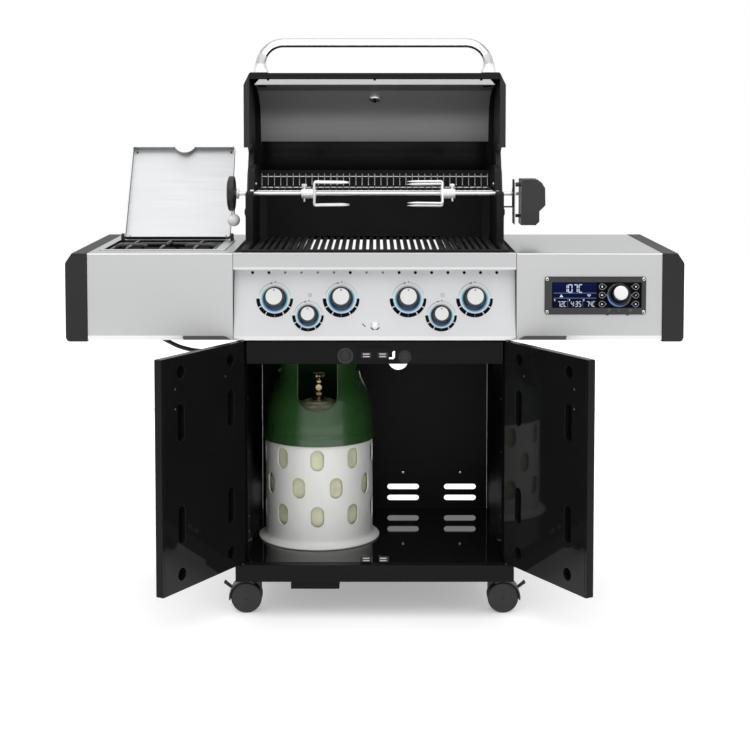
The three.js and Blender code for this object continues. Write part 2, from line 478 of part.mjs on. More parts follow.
// ---------------------------------------------------------------- casters
for (const [fb, yc] of [['front', CASTER_Y[0]], ['rear', CASTER_Y[1]]]) for (const [lr, s] of [['left', -1], ['right', 1]]) {
  const g = new THREE.Group();
  g.position.set(s * CASTER_X, yc, 0);
  plan.add(g);
  const w = s * CASTER_TRAIL;                                    // wheel centre beside the swivel axis
  const hood = [];
  const a0 = s < 0 ? 62 : -8 + 0, a1 = s < 0 ? 188 : 118;
  for (let a = a0; a <= a1 + 0.1; a += 18) hood.push([w + 45.6 * Math.cos(a * RAD), WHEEL_R + 45.6 * Math.sin(a * RAD)]);
  for (let a = a1; a >= a0 - 0.1; a -= 18) hood.push([w + 41.6 * Math.cos(a * RAD), WHEEL_R + 41.6 * Math.sin(a * RAD)]);
  const web = [...hood.slice(0, hood.length / 2), ...(s < 0
    ? [[w - 34, 30], [w - 20, 16], [w + 6, 14], [w + 22, 30], [8.4, 60]]
    : [[-8.4, 60], [w - 22, 30], [w - 6, 14], [w + 20, 16], [w + 34, 30]].reverse())];
  const webPts = s < 0 ? web : [...hood.slice(0, hood.length / 2), [-8.4, 60], [w - 22, 30], [w - 6, 14], [w + 20, 16], [w + 34, 30]];
  let fork = join(prismY(hood, -26, 26), prismY(webPts, -8, 8),
    box(-8, 8, -8, 8, 60, 84), bar('z', [0, 0], 13, 82.5, 95.5, 14), box(-20, 20, -20, 20, 92.5, 95.5));
  fork = cut(fork, bar('y', [w, WHEEL_R], 6.6, -12, 12, 12));
  put(g, `caster_fork_${fb}_${lr}`, fork, PLASTIC());
  const wheel = join(bar('y', [w, WHEEL_R], WHEEL_R, 8.8, 25, 24), bar('y', [w, WHEEL_R], WHEEL_R, -25, -8.8, 24), bar('y', [w, WHEEL_R], 6, -10, 10, 10));
  put(g, `caster_wheel_${fb}_${lr}`, wheel, PLASTIC());
  if (fb === 'front') {
    const b = new THREE.Group();
    b.position.set(w + s * 39.6, 0, WHEEL_R + 22);
    b.rotation.y = -s * 38 * RAD;
    g.add(b);
    put(b, `brake_lever_${lr}`, box(s > 0 ? 1.2 : -25, s > 0 ? 25 : -1.2, -8, 8, -3.4, 3.4), PLASTIC());
  }
}

// ---------------------------------------------------------------- gas bottle
{
  const g = new THREE.Group();
  g.position.set(BOTTLE[0], BOTTLE[1], 0);
  plan.add(g);
  const z0 = FLOOR_Z + 0.4;
  let shroud = lathe([[142.5, z0], [164.5, z0], [165, z0 + 3.6], [158, z0 + 7.2], [148.6, z0 + 13], [146.5, z0 + 24], [146.5, 414.4], [142.5, 414.4]], 32);
  const wins = [];
  for (let k = 0; k < 9; k++) for (let row = 0; row < 3; row++) {
    // upright rounded windows, staggered from row to row
    const a = (k * 40 + (row % 2 ? 20 : 0)) * RAD;
    const w = prismY(stadium(0, 225 + row * 76, 36, 56, 2), -170, -130);
    wins.push(w.rotate([0, 0, a / RAD]));
  }
  shroud = cut(shroud, ...wins);
  put(g, 'bottle_shroud', shroud, mat(0xf1f1ee, 0.55, 0.0));

  put(g, 'bottle_vessel', lathe([[0, 147], [60, 149], [112, 164], [134, 190], [138, 214], [138, 430], [132, 462], [104, 492], [60, 507], [40, 508], [40, 513.6], [0, 513.6]], 24),
    mat(0xdfe3b4, 0.4, 0.0));

  let top = lathe([[146.5, 415], [153.5, 415], [153.5, 437], [149, 443], [149, 470], [143, 510], [130, 545], [112, 585], [111, 626], [127, 642], [127, 680],
    [120, 688], [104, 684], [104, 584], [123, 542], [136, 507], [142, 470], [142, 443]], 28);
  const win = [];
  for (let i = 0; i <= 4; i++) { const a = Math.PI + Math.PI * i / 4; win.push([52 * Math.cos(a), 548 + 40 * Math.sin(a)]); }
  win.push([52, 644], [-52, 644]);
  top = cut(top, prismY(win, -170, -20), box(60, 170, -46, 46, 596, 641), box(-170, -60, -46, 46, 596, 641), box(-46, 46, 60, 170, 596, 641));
  put(g, 'bottle_top', top, mat(0x2f7a3c, 0.4, 0.0));

  let valve = join(bar('z', [0, 0], 22, 514.2, 520, 18), bar('z', [0, 0], 13, 518, 536, 14), bar('z', [0, 0], 9.5, 535, 569, 14),
    rod([0, 0, 552], [0, -24, 552], 9, 14));
  valve = cut(valve, rod([0, -18, 552], [0, -30, 552], 5.5, 12));
  put(g, 'bottle_valve', valve, mat(0xb8964f, 0.35, 0.9));
  put(g, 'bottle_valve_wheel', join(bar('z', [0, 0], 7, 569.6, 578, 12), lathe([[0, 575], [14, 575], [19, 577.5], [20.5, 582], [19, 587], [0, 589]], 18)), mat(0xb8964f, 0.35, 0.9));
}

// ---------------------------------------------------------------- place on the origin
const bounds = new THREE.Box3().setFromObject(plan);
plan.position.set(-(bounds.min.x + bounds.max.x) / 2, -(bounds.min.y + bounds.max.y) / 2, 0);
const group = new THREE.Group();
group.add(plan);
export default group;
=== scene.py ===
# Looks of the gas barbecue grill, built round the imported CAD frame. Plan coordinates are
# millimetres with Y = 0 on the front of the shelves; P() turns them into frame metres.
import json
import math

import bpy
import bmesh
from mathutils import Matrix, Vector

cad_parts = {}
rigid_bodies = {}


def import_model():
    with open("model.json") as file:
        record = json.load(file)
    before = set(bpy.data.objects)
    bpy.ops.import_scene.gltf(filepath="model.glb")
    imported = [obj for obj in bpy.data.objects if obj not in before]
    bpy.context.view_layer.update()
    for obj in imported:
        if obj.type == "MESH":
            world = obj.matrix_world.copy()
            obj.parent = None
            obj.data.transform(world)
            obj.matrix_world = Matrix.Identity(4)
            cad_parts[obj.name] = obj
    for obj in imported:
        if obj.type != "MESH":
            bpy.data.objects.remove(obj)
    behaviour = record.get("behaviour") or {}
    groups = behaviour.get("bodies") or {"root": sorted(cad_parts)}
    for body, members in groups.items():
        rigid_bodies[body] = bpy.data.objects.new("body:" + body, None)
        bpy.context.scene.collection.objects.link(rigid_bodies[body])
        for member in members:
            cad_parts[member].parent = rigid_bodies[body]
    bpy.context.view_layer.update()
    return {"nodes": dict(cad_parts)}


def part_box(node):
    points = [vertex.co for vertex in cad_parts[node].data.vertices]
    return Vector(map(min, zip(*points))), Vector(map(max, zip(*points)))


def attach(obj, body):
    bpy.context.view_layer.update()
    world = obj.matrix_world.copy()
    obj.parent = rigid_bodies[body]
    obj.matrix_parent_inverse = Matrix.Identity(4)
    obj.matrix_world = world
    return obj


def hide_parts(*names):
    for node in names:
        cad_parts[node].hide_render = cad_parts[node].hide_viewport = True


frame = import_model()
scene = bpy.context.scene
Y0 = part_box("shelf_right")[0].y
SHELF_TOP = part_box("shelf_right")[1].z * 1000
HALF_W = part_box("end_cap_right")[1].x * 1000
RAD = math.pi / 180


def P(x, y, z):
    return Vector((x / 1000, y / 1000 + Y0, z / 1000))


# ------------------------------------------------------------------ camera, light, floor
cam_data = bpy.data.cameras.new("camera")
cam_data.sensor_width = 36
cam_data.lens = 36 * 1578.333 / 750
cam_data.shift_x = 0.0004
cam_data.shift_y = -0.22483
cam_data.clip_end = 60
cam = bpy.data.objects.new("camera", cam_data)
cam.location = P(0, -3993.4, 1329.1)
cam.rotation_euler = (math.radians(90 - 3.803), 0, 0)
scene.collection.objects.link(cam)
scene.camera = cam
scene.view_settings.view_transform = "Standard"
scene.view_settings.look = "None"

world = bpy.data.worlds.new("studio")
scene.world = world
world.use_nodes = True
wn = world.node_tree
wn.nodes.clear()
w_out = wn.nodes.new("ShaderNodeOutputWorld")
w_mix = wn.nodes.new("ShaderNodeMixShader")
w_cam = wn.nodes.new("ShaderNodeBackground")
w_env = wn.nodes.new("ShaderNodeBackground")
w_cam.inputs["Color"].default_value = (1, 1, 1, 1)
w_cam.inputs["Strength"].default_value = 1.0
w_lp = wn.nodes.new("ShaderNodeLightPath")
w_tc = wn.nodes.new("ShaderNodeTexCoord")
w_sep = wn.nodes.new("ShaderNodeSeparateXYZ")
w_ramp = wn.nodes.new("ShaderNodeValToRGB")
w_map = wn.nodes.new("ShaderNodeMapRange")
wn.links.new(w_tc.outputs["Generated"], w_sep.inputs[0])
w_map.inputs["From Min"].default_value = -1
w_map.inputs["From Max"].default_value = 1
wn.links.new(w_sep.outputs["Z"], w_map.inputs["Value"])
wn.links.new(w_map.outputs["Result"], w_ramp.inputs["Fac"])
els = w_ramp.color_ramp.elements
els[0].position = 0.0
els[0].color = (0.55, 0.55, 0.56, 1)
els[1].position = 1.0
els[1].color = (1.0, 1.0, 1.0, 1)
for pos, v in ((0.47, 0.62), (0.56, 0.74), (0.72, 0.97)):
    e = els.new(pos)
    e.color = (v, v, v * 1.005, 1)
wn.links.new(w_ramp.outputs["Color"], w_env.inputs["Color"])
w_env.inputs["Strength"].default_value = 0.92
wn.links.new(w_lp.outputs["Is Camera Ray"], w_mix.inputs["Fac"])
wn.links.new(w_env.outputs[0], w_mix.inputs[1])
wn.links.new(w_cam.outputs[0], w_mix.inputs[2])
wn.links.new(w_mix.outputs[0], w_out.inputs["Surface"])


def light(name, kind, loc, aim, energy, size=1.0, size_y=None, color=(1, 1, 1)):
    d = bpy.data.lights.new(name, kind)
    d.energy = energy
    d.color = color
    if kind == "AREA":
        d.shape = "RECTANGLE"
        d.size = size
        d.size_y = size_y or size
    if kind == "SUN":
        d.angle = size
    o = bpy.data.objects.new(name, d)
    o.location = loc
    o.rotation_euler = (Vector(aim) - Vector(loc)).to_track_quat("-Z", "Y").to_euler()
    scene.collection.objects.link(o)
    return o


light("overhead", "SUN", (0, -1, 6), (0, 0.6, 0), 1.35, math.radians(70))
light("front_soft", "SUN", (0, -4, 2.6), (0, 0, 0.8), 0.2, math.radians(70))
light("front_low", "SUN", (0, -4, 1.4), (0, 0, 0.8), 0.12, math.radians(60))


# ------------------------------------------------------------------ materials
def nodes_of(name):
    m = bpy.data.materials.new(name)
    m.use_nodes = True
    nt = m.node_tree
    nt.nodes.clear()
    out = nt.nodes.new("ShaderNodeOutputMaterial")
    bs = nt.nodes.new("ShaderNodeBsdfPrincipled")
    nt.links.new(bs.outputs[0], out.inputs["Surface"])
    return m, nt, bs


def coords(nt, scale=(1, 1, 1)):
    tc = nt.nodes.new("ShaderNodeTexCoord")
    mp = nt.nodes.new("ShaderNodeMapping")
    mp.inputs["Scale"].default_value = scale
    nt.links.new(tc.outputs["Object"], mp.inputs["Vector"])
    return mp.outputs["Vector"]


def noise(nt, vec, scale, detail=3.0, rough=0.55):
    n = nt.nodes.new("ShaderNodeTexNoise")
    n.inputs["Scale"].default_value = scale
    n.inputs["Detail"].default_value = detail
    n.inputs["Roughness"].default_value = rough
    nt.links.new(vec, n.inputs["Vector"])
    return n.outputs["Fac"]


def span(nt, fac, lo, hi, a=0.3, b=0.7):
    r = nt.nodes.new("ShaderNodeMapRange")
    r.inputs["From Min"].default_value = a
    r.inputs["From Max"].default_value = b
    r.inputs["To Min"].default_value = lo
    r.inputs["To Max"].default_value = hi
    nt.links.new(fac, r.inputs["Value"])
    return r.outputs["Result"]


def ramp(nt, fac, stops):
    r = nt.nodes.new("ShaderNodeValToRGB")
    e = r.color_ramp.elements
    e[0].position, e[0].color = stops[0][0], (*stops[0][1], 1)
    e[1].position, e[1].color = stops[-1][0], (*stops[-1][1], 1)
    for p, c in stops[1:-1]:
        x = e.new(p)
        x.color = (*c, 1)
    nt.links.new(fac, r.inputs["Fac"])
    return r.outputs["Color"]


def bump(nt, bs, fac, strength, dist):
    b = nt.nodes.new("ShaderNodeBump")
    b.inputs["Strength"].default_value = strength
    b.inputs["Distance"].default_value = dist
    nt.links.new(fac, b.inputs["Height"])
    nt.links.new(b.outputs["Normal"], bs.inputs["Normal"])


def grey(v):
    return (v, v, v)


def mul(c, k):
    return tuple(min(1.0, x * k) for x in c)


def metal_brushed(name, base, rough=0.3, along="x", var=0.05, fine=0.25, spread=0.07, metal=1.0):
    """Sheet steel brushed in one direction, with faint broad cloudiness."""
    m, nt, bs = nodes_of(name)
    s = {"x": (6, 620, 620), "y": (620, 6, 620), "z": (620, 620, 6)}[along]
    streak = noise(nt, coords(nt, s), 1.0, 4.0, 0.65)
    cloud = noise(nt, coords(nt, (1, 1, 1)), 3.1, 2.0, 0.5)
    mixn = nt.nodes.new("ShaderNodeMix")
    mixn.inputs["Factor"].default_value = 0.35
    nt.links.new(streak, mixn.inputs["A"])
    nt.links.new(cloud, mixn.inputs["B"])
    col = ramp(nt, mixn.outputs["Result"], [(0.3, mul(base, 1 - var)), (0.7, mul(base, 1 + var))])
    nt.links.new(col, bs.inputs["Base Color"])
    nt.links.new(span(nt, streak, rough - spread, rough + spread), bs.inputs["Roughness"])
    bs.inputs["Metallic"].default_value = metal
    bump(nt, bs, streak, fine, 0.00025)
    return m


def metal_smooth(name, base, rough=0.08, var=0.04, scale=60):
    m, nt, bs = nodes_of(name)
    n = noise(nt, coords(nt), scale, 3.0, 0.6)
    nt.links.new(ramp(nt, n, [(0.35, mul(base, 1 - var)), (0.65, mul(base, 1 + var))]), bs.inputs["Base Color"])
    nt.links.new(span(nt, n, rough * 0.75, rough * 1.3), bs.inputs["Roughness"])
    bs.inputs["Metallic"].default_value = 1.0
    bump(nt, bs, n, 0.05, 0.0003)
    return m


def coat(name, base, rough=0.45, spec=0.3, grain=900, strength=0.25, dist=0.0003, var=0.15, clear=0.0, large=5.0):
    """Paint, enamel or moulded plastic: fine grain in the surface, faint broad colour change."""
    m, nt, bs = nodes_of(name)
    v = coords(nt)
    g = noise(nt, v, grain, 2.0, 0.6)
    b = noise(nt, v, large, 3.0, 0.55)
    nt.links.new(ramp(nt, b, [(0.3, mul(base, 1 - var)), (0.7, mul(base, 1 + var))]), bs.inputs["Base Color"])
    mixn = nt.nodes.new("ShaderNodeMix")
    mixn.inputs["Factor"].default_value = 0.4
    nt.links.new(g, mixn.inputs["A"])
    nt.links.new(b, mixn.inputs["B"])
    nt.links.new(span(nt, mixn.outputs["Result"], max(0.02, rough * 0.8), min(1, rough * 1.2)), bs.inputs["Roughness"])
    bs.inputs["Specular IOR Level"].default_value = spec
    if clear:
        bs.inputs["Coat Weight"].default_value = clear
        bs.inputs["Coat Roughness"].default_value = 0.08
    bump(nt, bs, g, strength, dist)
    return m


def glow(name, stops, axis="Z", half=0.04, strength=1.0, base=0.6):
    """Translucent ring lit from behind; colour runs along one local axis."""
    m, nt, bs = nodes_of(name)
    tc = nt.nodes.new("ShaderNodeTexCoord")
    sp = nt.nodes.new("ShaderNodeSeparateXYZ")
    nt.links.new(tc.outputs["Object"], sp.inputs[0])
    f = span(nt, sp.outputs[axis], 0, 1, -half, half)
    c = ramp(nt, f, stops)
    nt.links.new(c, bs.inputs["Emission Color"])
    bs.inputs["Emission Strength"].default_value = strength
    nt.links.new(c, bs.inputs["Base Color"])
    n = noise(nt, coords(nt), 300)
    nt.links.new(span(nt, n, 0.25, 0.4), bs.inputs["Roughness"])
    return m


def glow_flat(name, color, strength=1.0, dim=0.12):
    """Lit screen marks with a slight unevenness of the backlight."""
    m, nt, bs = nodes_of(name)
    n = noise(nt, coords(nt), 18.0, 2.0)
    c = ramp(nt, n, [(0.3, mul(color, 1 - dim)), (0.7, color)])
    nt.links.new(c, bs.inputs["Emission Color"])
    bs.inputs["Emission Strength"].default_value = strength
    bs.inputs["Base Color"].default_value = (0.01, 0.01, 0.02, 1)
    nt.links.new(span(nt, n, 0.25, 0.35), bs.inputs["Roughness"])
    return m


def ring_lit(name, deep, near, far, rim, r0, r1, strength=0.6):
    """Frosted ring lit from behind: colour runs out from the middle, and from blue below to white above."""
    m, nt, bs = nodes_of(name)
    tc = nt.nodes.new("ShaderNodeTexCoord")
    ln = nt.nodes.new("ShaderNodeVectorMath")
    ln.operation = "LENGTH"
    nt.links.new(tc.outputs["Object"], ln.inputs[0])
    nrm = nt.nodes.new("ShaderNodeVectorMath")
    nrm.operation = "NORMALIZE"
    nt.links.new(tc.outputs["Object"], nrm.inputs[0])
    sp = nt.nodes.new("ShaderNodeSeparateXYZ")
    nt.links.new(nrm.outputs["Vector"], sp.inputs[0])
    fr = span(nt, ln.outputs["Value"], 0, 1, r0, r1)
    low = ramp(nt, fr, [(0.0, deep[0]), (0.20, near[0]), (0.55, far[0]), (1.0, rim[0])])
    side = ramp(nt, fr, [(0.0, deep[1]), (0.20, near[1]), (0.55, far[1]), (1.0, rim[1])])
    top = ramp(nt, fr, [(0.0, deep[2]), (0.20, near[2]), (0.55, far[2]), (1.0, rim[2])])

    def blend2(f, a, b):
        x = nt.nodes.new("ShaderNodeMix")
        x.data_type = "RGBA"
        nt.links.new(f, x.inputs[0])
        nt.links.new(a, x.inputs[6])
        nt.links.new(b, x.inputs[7])
        return x.outputs[2]

    c = blend2(span(nt, sp.outputs["Z"], 0, 1, -0.80, -0.30), low, side)
    c = blend2(span(nt, sp.outputs["Z"], 0, 1, 0.25, 0.85), c, top)
    nt.links.new(c, bs.inputs["Emission Color"])
    nt.links.new(c, bs.inputs["Base Color"])
    bs.inputs["Emission Strength"].default_value = strength
    n = noise(nt, coords(nt), 300)
    nt.links.new(span(nt, n, 0.25, 0.4), bs.inputs["Roughness"])
    return m


M = {}
M["shelf_steel"] = metal_brushed("shelf_steel", (0.61, 0.615, 0.62), 0.34, "x")
M["shelf_band"] = metal_brushed("shelf_band", (0.77, 0.775, 0.78), 0.30, "x")
M["panel_steel"] = metal_brushed("panel_steel", (0.60, 0.605, 0.612), 0.40, "x", 0.015, 0.06, 0.03, 0.7)
M["skin_steel"] = metal_brushed("skin_steel", (0.60, 0.605, 0.61), 0.26, "x")
M["pale_steel"] = metal_brushed("pale_steel", (0.86, 0.87, 0.875), 0.38, "z", 0.03)
M["rim_steel"] = metal_brushed("rim_steel", (0.62, 0.62, 0.62), 0.25, "x")
M["liner_steel"] = metal_brushed("liner_steel", (0.295, 0.295, 0.295), 0.42, "x", 0.10, 0.4, 0.07, 0.35)
M["liner_roof_painted_shade"] = metal_brushed("liner_roof_painted_shade", (0.10, 0.10, 0.10), 0.42, "x", 0.10, 0.4, 0.07, 0.2)
M["burner_steel"] = metal_brushed("burner_steel", (0.30, 0.29, 0.27), 0.4, "y", 0.12)
M["tray_steel"] = metal_brushed("tray_steel", (0.5, 0.5, 0.5), 0.4, "y")
M["chrome"] = metal_smooth("chrome", (0.78, 0.785, 0.79), 0.07)
M["chrome_dark"] = metal_smooth("chrome_dark", (0.10, 0.10, 0.105), 0.18)
M["wire"] = metal_smooth("wire", (0.50, 0.50, 0.505), 0.2)
M["spit_steel"] = metal_brushed("spit_steel", (0.70, 0.70, 0.70), 0.28, "x", 0.02, 0.08, 0.04, 0.75)
M["satin"] = metal_smooth("satin", (0.80, 0.80, 0.80), 0.30)
M["screw"] = metal_smooth("screw", (0.55, 0.55, 0.56), 0.22)
M["brass"] = metal_smooth("brass", (0.42, 0.34, 0.18), 0.28)
M["knob_face"] = coat("knob_face", (0.60, 0.60, 0.585), 0.35, 0.5, 1200, 0.08, 0.0002, 0.03)
M["knob_side"] = coat("knob_side", (0.022, 0.023, 0.025), 0.22, 0.5, 900, 0.08, 0.0002, 0.2)
M["ink"] = coat("ink", (0.004, 0.004, 0.004), 0.6, 0.04, 1500, 0.1, 0.0001, 0.2)
M["ink_grey"] = coat("ink_grey", (0.10, 0.10, 0.105), 0.5, 0.1, 1500, 0.1, 0.0001, 0.2)
M["dot_blue"] = coat("dot_blue", (0.12, 0.24, 0.55), 0.35, 0.4, 1500, 0.1, 0.0001, 0.1)
M["black_paint"] = coat("black_paint", (0.0085, 0.0085, 0.009), 0.34, 0.22, 1400, 0.22, 0.0002, 0.2)
M["black_gloss"] = coat("black_gloss", (0.006, 0.006, 0.0065), 0.12, 0.35, 500, 0.05, 0.0002, 0.2)
M["black_soft"] = coat("black_soft", (0.016, 0.016, 0.017), 0.5, 0.3, 1200, 0.3, 0.0003, 0.2)
M["back_upper"] = coat("back_upper", (0.009, 0.009, 0.0093), 0.5, 0.14, 1200, 0.2, 0.0002, 0.1)
# near-black for holes, recess floors and dark joints; in holes and recesses it is painted shade
M["void"] = coat("void", (0.0015, 0.0015, 0.0015), 0.8, 0.02, 600, 0.2, 0.0002, 0.2)
M["cast"] = coat("cast", (0.022, 0.0225, 0.023), 0.48, 0.35, 700, 0.55, 0.0006, 0.25)
M["cast_in"] = coat("cast_in", (0.0075, 0.0075, 0.0078), 0.55, 0.18, 500, 0.5, 0.0006, 0.3)
M["iron"] = coat("iron", (0.055, 0.055, 0.056), 0.36, 0.5, 600, 0.5, 0.0004, 0.35)
M["enamel"] = coat("enamel", (0.008, 0.008, 0.0085), 0.10, 0.5, 80, 0.04, 0.0004, 0.2)
M["cap_plastic"] = coat("cap_plastic", (0.016, 0.0162, 0.0165), 0.5, 0.24, 1100, 0.5, 0.0003, 0.12)
M["cap_edge_painted_highlight"] = coat("cap_edge_painted_highlight", (0.060, 0.061, 0.063), 0.45, 0.35, 1100, 0.5, 0.0003, 0.12)
M["motor_plastic"] = coat("motor_plastic", (0.026, 0.0265, 0.0275), 0.46, 0.35, 900, 0.6, 0.0004, 0.15)
M["caster_plastic"] = coat("caster_plastic", (0.022, 0.0225, 0.024), 0.4, 0.4, 900, 0.35, 0.0003, 0.15)
M["tread"] = coat("tread", (0.016, 0.016, 0.017), 0.62, 0.25, 500, 0.5, 0.0004, 0.2)
M["rubber"] = coat("rubber", (0.010, 0.010, 0.0105), 0.5, 0.3, 700, 0.3, 0.0003, 0.2)
M["red"] = coat("red", (0.28, 0.018, 0.03), 0.25, 0.5, 900, 0.1, 0.0002, 0.15)
M["white_shell"] = coat("white_shell", (0.765, 0.765, 0.74), 0.42, 0.4, 700, 0.2, 0.0003, 0.04, 0.0, 9)
M["green_shell"] = coat("green_shell", (0.021, 0.068, 0.0185), 0.28, 0.5, 700, 0.15, 0.0003, 0.12, 0.3, 7)
M["vessel"] = coat("vessel", (0.60, 0.61, 0.42), 0.35, 0.4, 60, 0.3, 0.0008, 0.12, 0.4, 30)
M["frame_grey"] = coat("frame_grey", (0.034, 0.034, 0.035), 0.4, 0.3, 1300, 0.3, 0.0002, 0.1)
M["glass_black"] = coat("glass_black", (0.0012, 0.0012, 0.0016), 0.10, 0.05, 40, 0.01, 0.0002, 0.2)
M["lcd"] = glow("lcd", [(0.0, (0.0010, 0.0020, 0.010)), (0.5, (0.0010, 0.0025, 0.014)), (1.0, (0.0012, 0.0045, 0.030))], "Z", 0.033, 0.7)
for n in M["lcd"].node_tree.nodes:
    if n.type == "BSDF_PRINCIPLED":
        n.inputs["Specular IOR Level"].default_value = 0.04
M["lcd_line"] = glow_flat("lcd_line", (0.08, 0.16, 0.42), 1.0)
M["lcd_digit"] = glow_flat("lcd_digit", (0.78, 0.84, 0.92), 0.9)
M["key_mark"] = glow_flat("key_mark", (0.42, 0.44, 0.47), 0.75)
M["ring_outer"] = glow("ring_outer", [(0.0, (0.62, 0.80, 0.95)), (0.3, (0.66, 0.86, 0.93)), (0.6, (0.74, 0.87, 0.90)), (1.0, (0.72, 0.745, 0.77))], "Z", 0.038, 0.62)
M["ring_mid"] = glow("ring_mid", [(0.0, (0.10, 0.25, 0.56)), (0.22, (0.16, 0.38, 0.66)), (0.5, (0.34, 0.68, 0.76)), (0.75, (0.60, 0.78, 0.82)), (1.0, (0.66, 0.70, 0.73))], "Z", 0.034, 0.55)
M["ring_inner"] = glow("ring_inner", [(0.0, (0.03, 0.10, 0.32)), (0.25, (0.04, 0.14, 0.34)), (0.5, (0.03, 0.22, 0.26)), (0.8, (0.10, 0.13, 0.14)), (1.0, (0.12, 0.12, 0.12))], "Z", 0.031, 0.5)
M["floor"] = coat("floor", (0.86, 0.86, 0.86), 0.7, 0.2, 90, 0.02, 0.0002, 0.01, 0.0, 1.2)
floor_bs = [n for n in M["floor"].node_tree.nodes if n.type == "BSDF_PRINCIPLED"][0]
floor_bs.inputs["Emission Color"].default_value = (1, 1, 1, 1)
floor_bs.inputs["Emission Strength"].default_value = 0.32
M["dial_glow"] = glow("dial_glow", [(0.0, (0.035, 0.09, 0.26)), (0.35, (0.06, 0.15, 0.36)), (0.7, (0.14, 0.20, 0.32)), (1.0, (0.14, 0.15, 0.17))], "Z", 0.028, 0.6)

M["panel_painted_highlight"] = metal_brushed("panel_painted_highlight", (0.70, 0.705, 0.71), 0.34, "x", 0.02, 0.10)
M["vent_grey"] = coat("vent_grey", (0.16, 0.16, 0.165), 0.5, 0.3, 900, 0.1, 0.0002, 0.1)
M["mark_grey"] = coat("mark_grey", (0.20, 0.205, 0.21), 0.45, 0.2, 900, 0.1, 0.0002, 0.1)
M["button_white"] = coat("button_white", (0.86, 0.86, 0.86), 0.3, 0.5, 900, 0.1, 0.0002, 0.03)
RG = dict(deep=[(0.010, 0.032, 0.13), (0.006, 0.085, 0.12), (0.10, 0.105, 0.11)],
          near=[(0.040, 0.13, 0.36), (0.05, 0.28, 0.37), (0.38, 0.39, 0.40)],
          far=[(0.15, 0.34, 0.58), (0.28, 0.50, 0.60), (0.50, 0.51, 0.52)],
          rim=[(0.46, 0.55, 0.62), (0.50, 0.56, 0.585), (0.54, 0.545, 0.55)])
M["ring_glow"] = ring_lit("ring_glow", r0=0.0292, r1=0.0379, strength=0.38, **RG)
M["ring_glow_s"] = ring_lit("ring_glow_s", r0=0.0251, r1=0.0326, strength=0.38, **RG)
M["satin_dark"] = metal_smooth("satin_dark", (0.16, 0.16, 0.165), 0.25)
M["dial_white"] = coat("dial_white", (0.72, 0.72, 0.72), 0.28, 0.5, 900, 0.05, 0.0002, 0.02)
M["seam_grey"] = coat("seam_grey", (0.075, 0.075, 0.078), 0.4, 0.4, 900, 0.1, 0.0002, 0.1)
M["lid_inside"] = metal_brushed("lid_inside", (0.49, 0.495, 0.50), 0.5, "x", 0.02, 0.12)
M["grid_iron"] = coat("grid_iron", (0.030, 0.030, 0.031), 0.30, 0.6, 700, 0.45, 0.0004, 0.3)
M["grip_black"] = coat("grip_black", (0.020, 0.0205, 0.021), 0.45, 0.3, 800, 0.2, 0.0003, 0.10)
M["ball_grey"] = coat("ball_grey", (0.86, 0.86, 0.85), 0.4, 0.4, 700, 0.1, 0.0002, 0.04)
M["motor_strip"] = metal_brushed("motor_strip", (0.42, 0.42, 0.42), 0.28, "z")
M["lid_enamel"] = coat("lid_enamel", (0.0030, 0.0030, 0.0032), 0.16, 0.22, 120, 0.06, 0.0004, 0.2)
M["rim_black"] = coat("rim_black", (0.0055, 0.0055, 0.0057), 0.45, 0.2, 900, 0.2, 0.0002, 0.12)
M["strip_steel"] = metal_brushed("strip_steel", (0.56, 0.56, 0.56), 0.4, "x", 0.03)
M["lid_cast"] = coat("lid_cast", (0.020, 0.0205, 0.021), 0.5, 0.3, 800, 0.5, 0.0004, 0.15)
M["lid_cast_painted_shade"] = coat("lid_cast_painted_shade", (0.006, 0.006, 0.0062), 0.5, 0.2, 800, 0.4, 0.0004, 0.15)
# chrome copies for the bands of the bail handle: a painted highlight, painted grey and dark reflections, and a greyer
# satin as painted shade on the legs
M["chrome_painted_highlight"] = metal_smooth("chrome_painted_highlight", (0.93, 0.93, 0.93), 0.16, 0.02)
M["chrome_painted_grey_reflection"] = metal_smooth("chrome_painted_grey_reflection", (0.50, 0.50, 0.50), 0.2, 0.02)
M["chrome_painted_dark_reflection"] = metal_smooth("chrome_painted_dark_reflection", (0.012, 0.012, 0.012), 0.14, 0.1)
M["satin_leg_painted_shade"] = metal_smooth("satin_leg_painted_shade", (0.72, 0.72, 0.72), 0.36, 0.02)
M["satin_white"] = metal_smooth("satin_white", (0.96, 0.96, 0.96), 0.3, 0.02)
M["probe_steel"] = metal_smooth("probe_steel", (0.42, 0.42, 0.42), 0.34)
M["door_black"] = coat("door_black", (0.0066, 0.0066, 0.0069), 0.045, 0.20, 1400, 0.0, 0.0001, 0.1)
M["door_edge"] = coat("door_edge", (0.0075, 0.0075, 0.0078), 0.45, 0.10, 1400, 0.1, 0.0002, 0.1)
M["rail_black"] = coat("rail_black", (0.0045, 0.0045, 0.0047), 0.4, 0.10, 1400, 0.15, 0.0002, 0.1)
M["plug_grey"] = coat("plug_grey", (0.022, 0.022, 0.023), 0.4, 0.25, 1000, 0.15, 0.0002, 0.1)
M["bar_white"] = metal_smooth("bar_white", (0.42, 0.42, 0.42), 0.4, 0.03)
M["base_black"] = coat("base_black", (0.0040, 0.0040, 0.0042), 0.5, 0.13, 1300, 0.2, 0.0002, 0.1)
M["floor_gloss"] = coat("floor_gloss", (0.006, 0.006, 0.0063), 0.04, 0.28, 200, 0.0, 0.0002, 0.1)
M["side_black"] = coat("side_black", (0.0012, 0.0012, 0.0013), 0.5, 0.03, 1300, 0.1, 0.0002, 0.1)
M["corner_painted_highlight"] = coat("corner_painted_highlight", (0.05, 0.05, 0.05), 0.4, 0.25, 900, 0.1, 0.0002, 0.1)
M["back_lower"] = coat("back_lower", (0.0035, 0.0035, 0.0037), 0.4, 0.14, 1200, 0.15, 0.0002, 0.1)
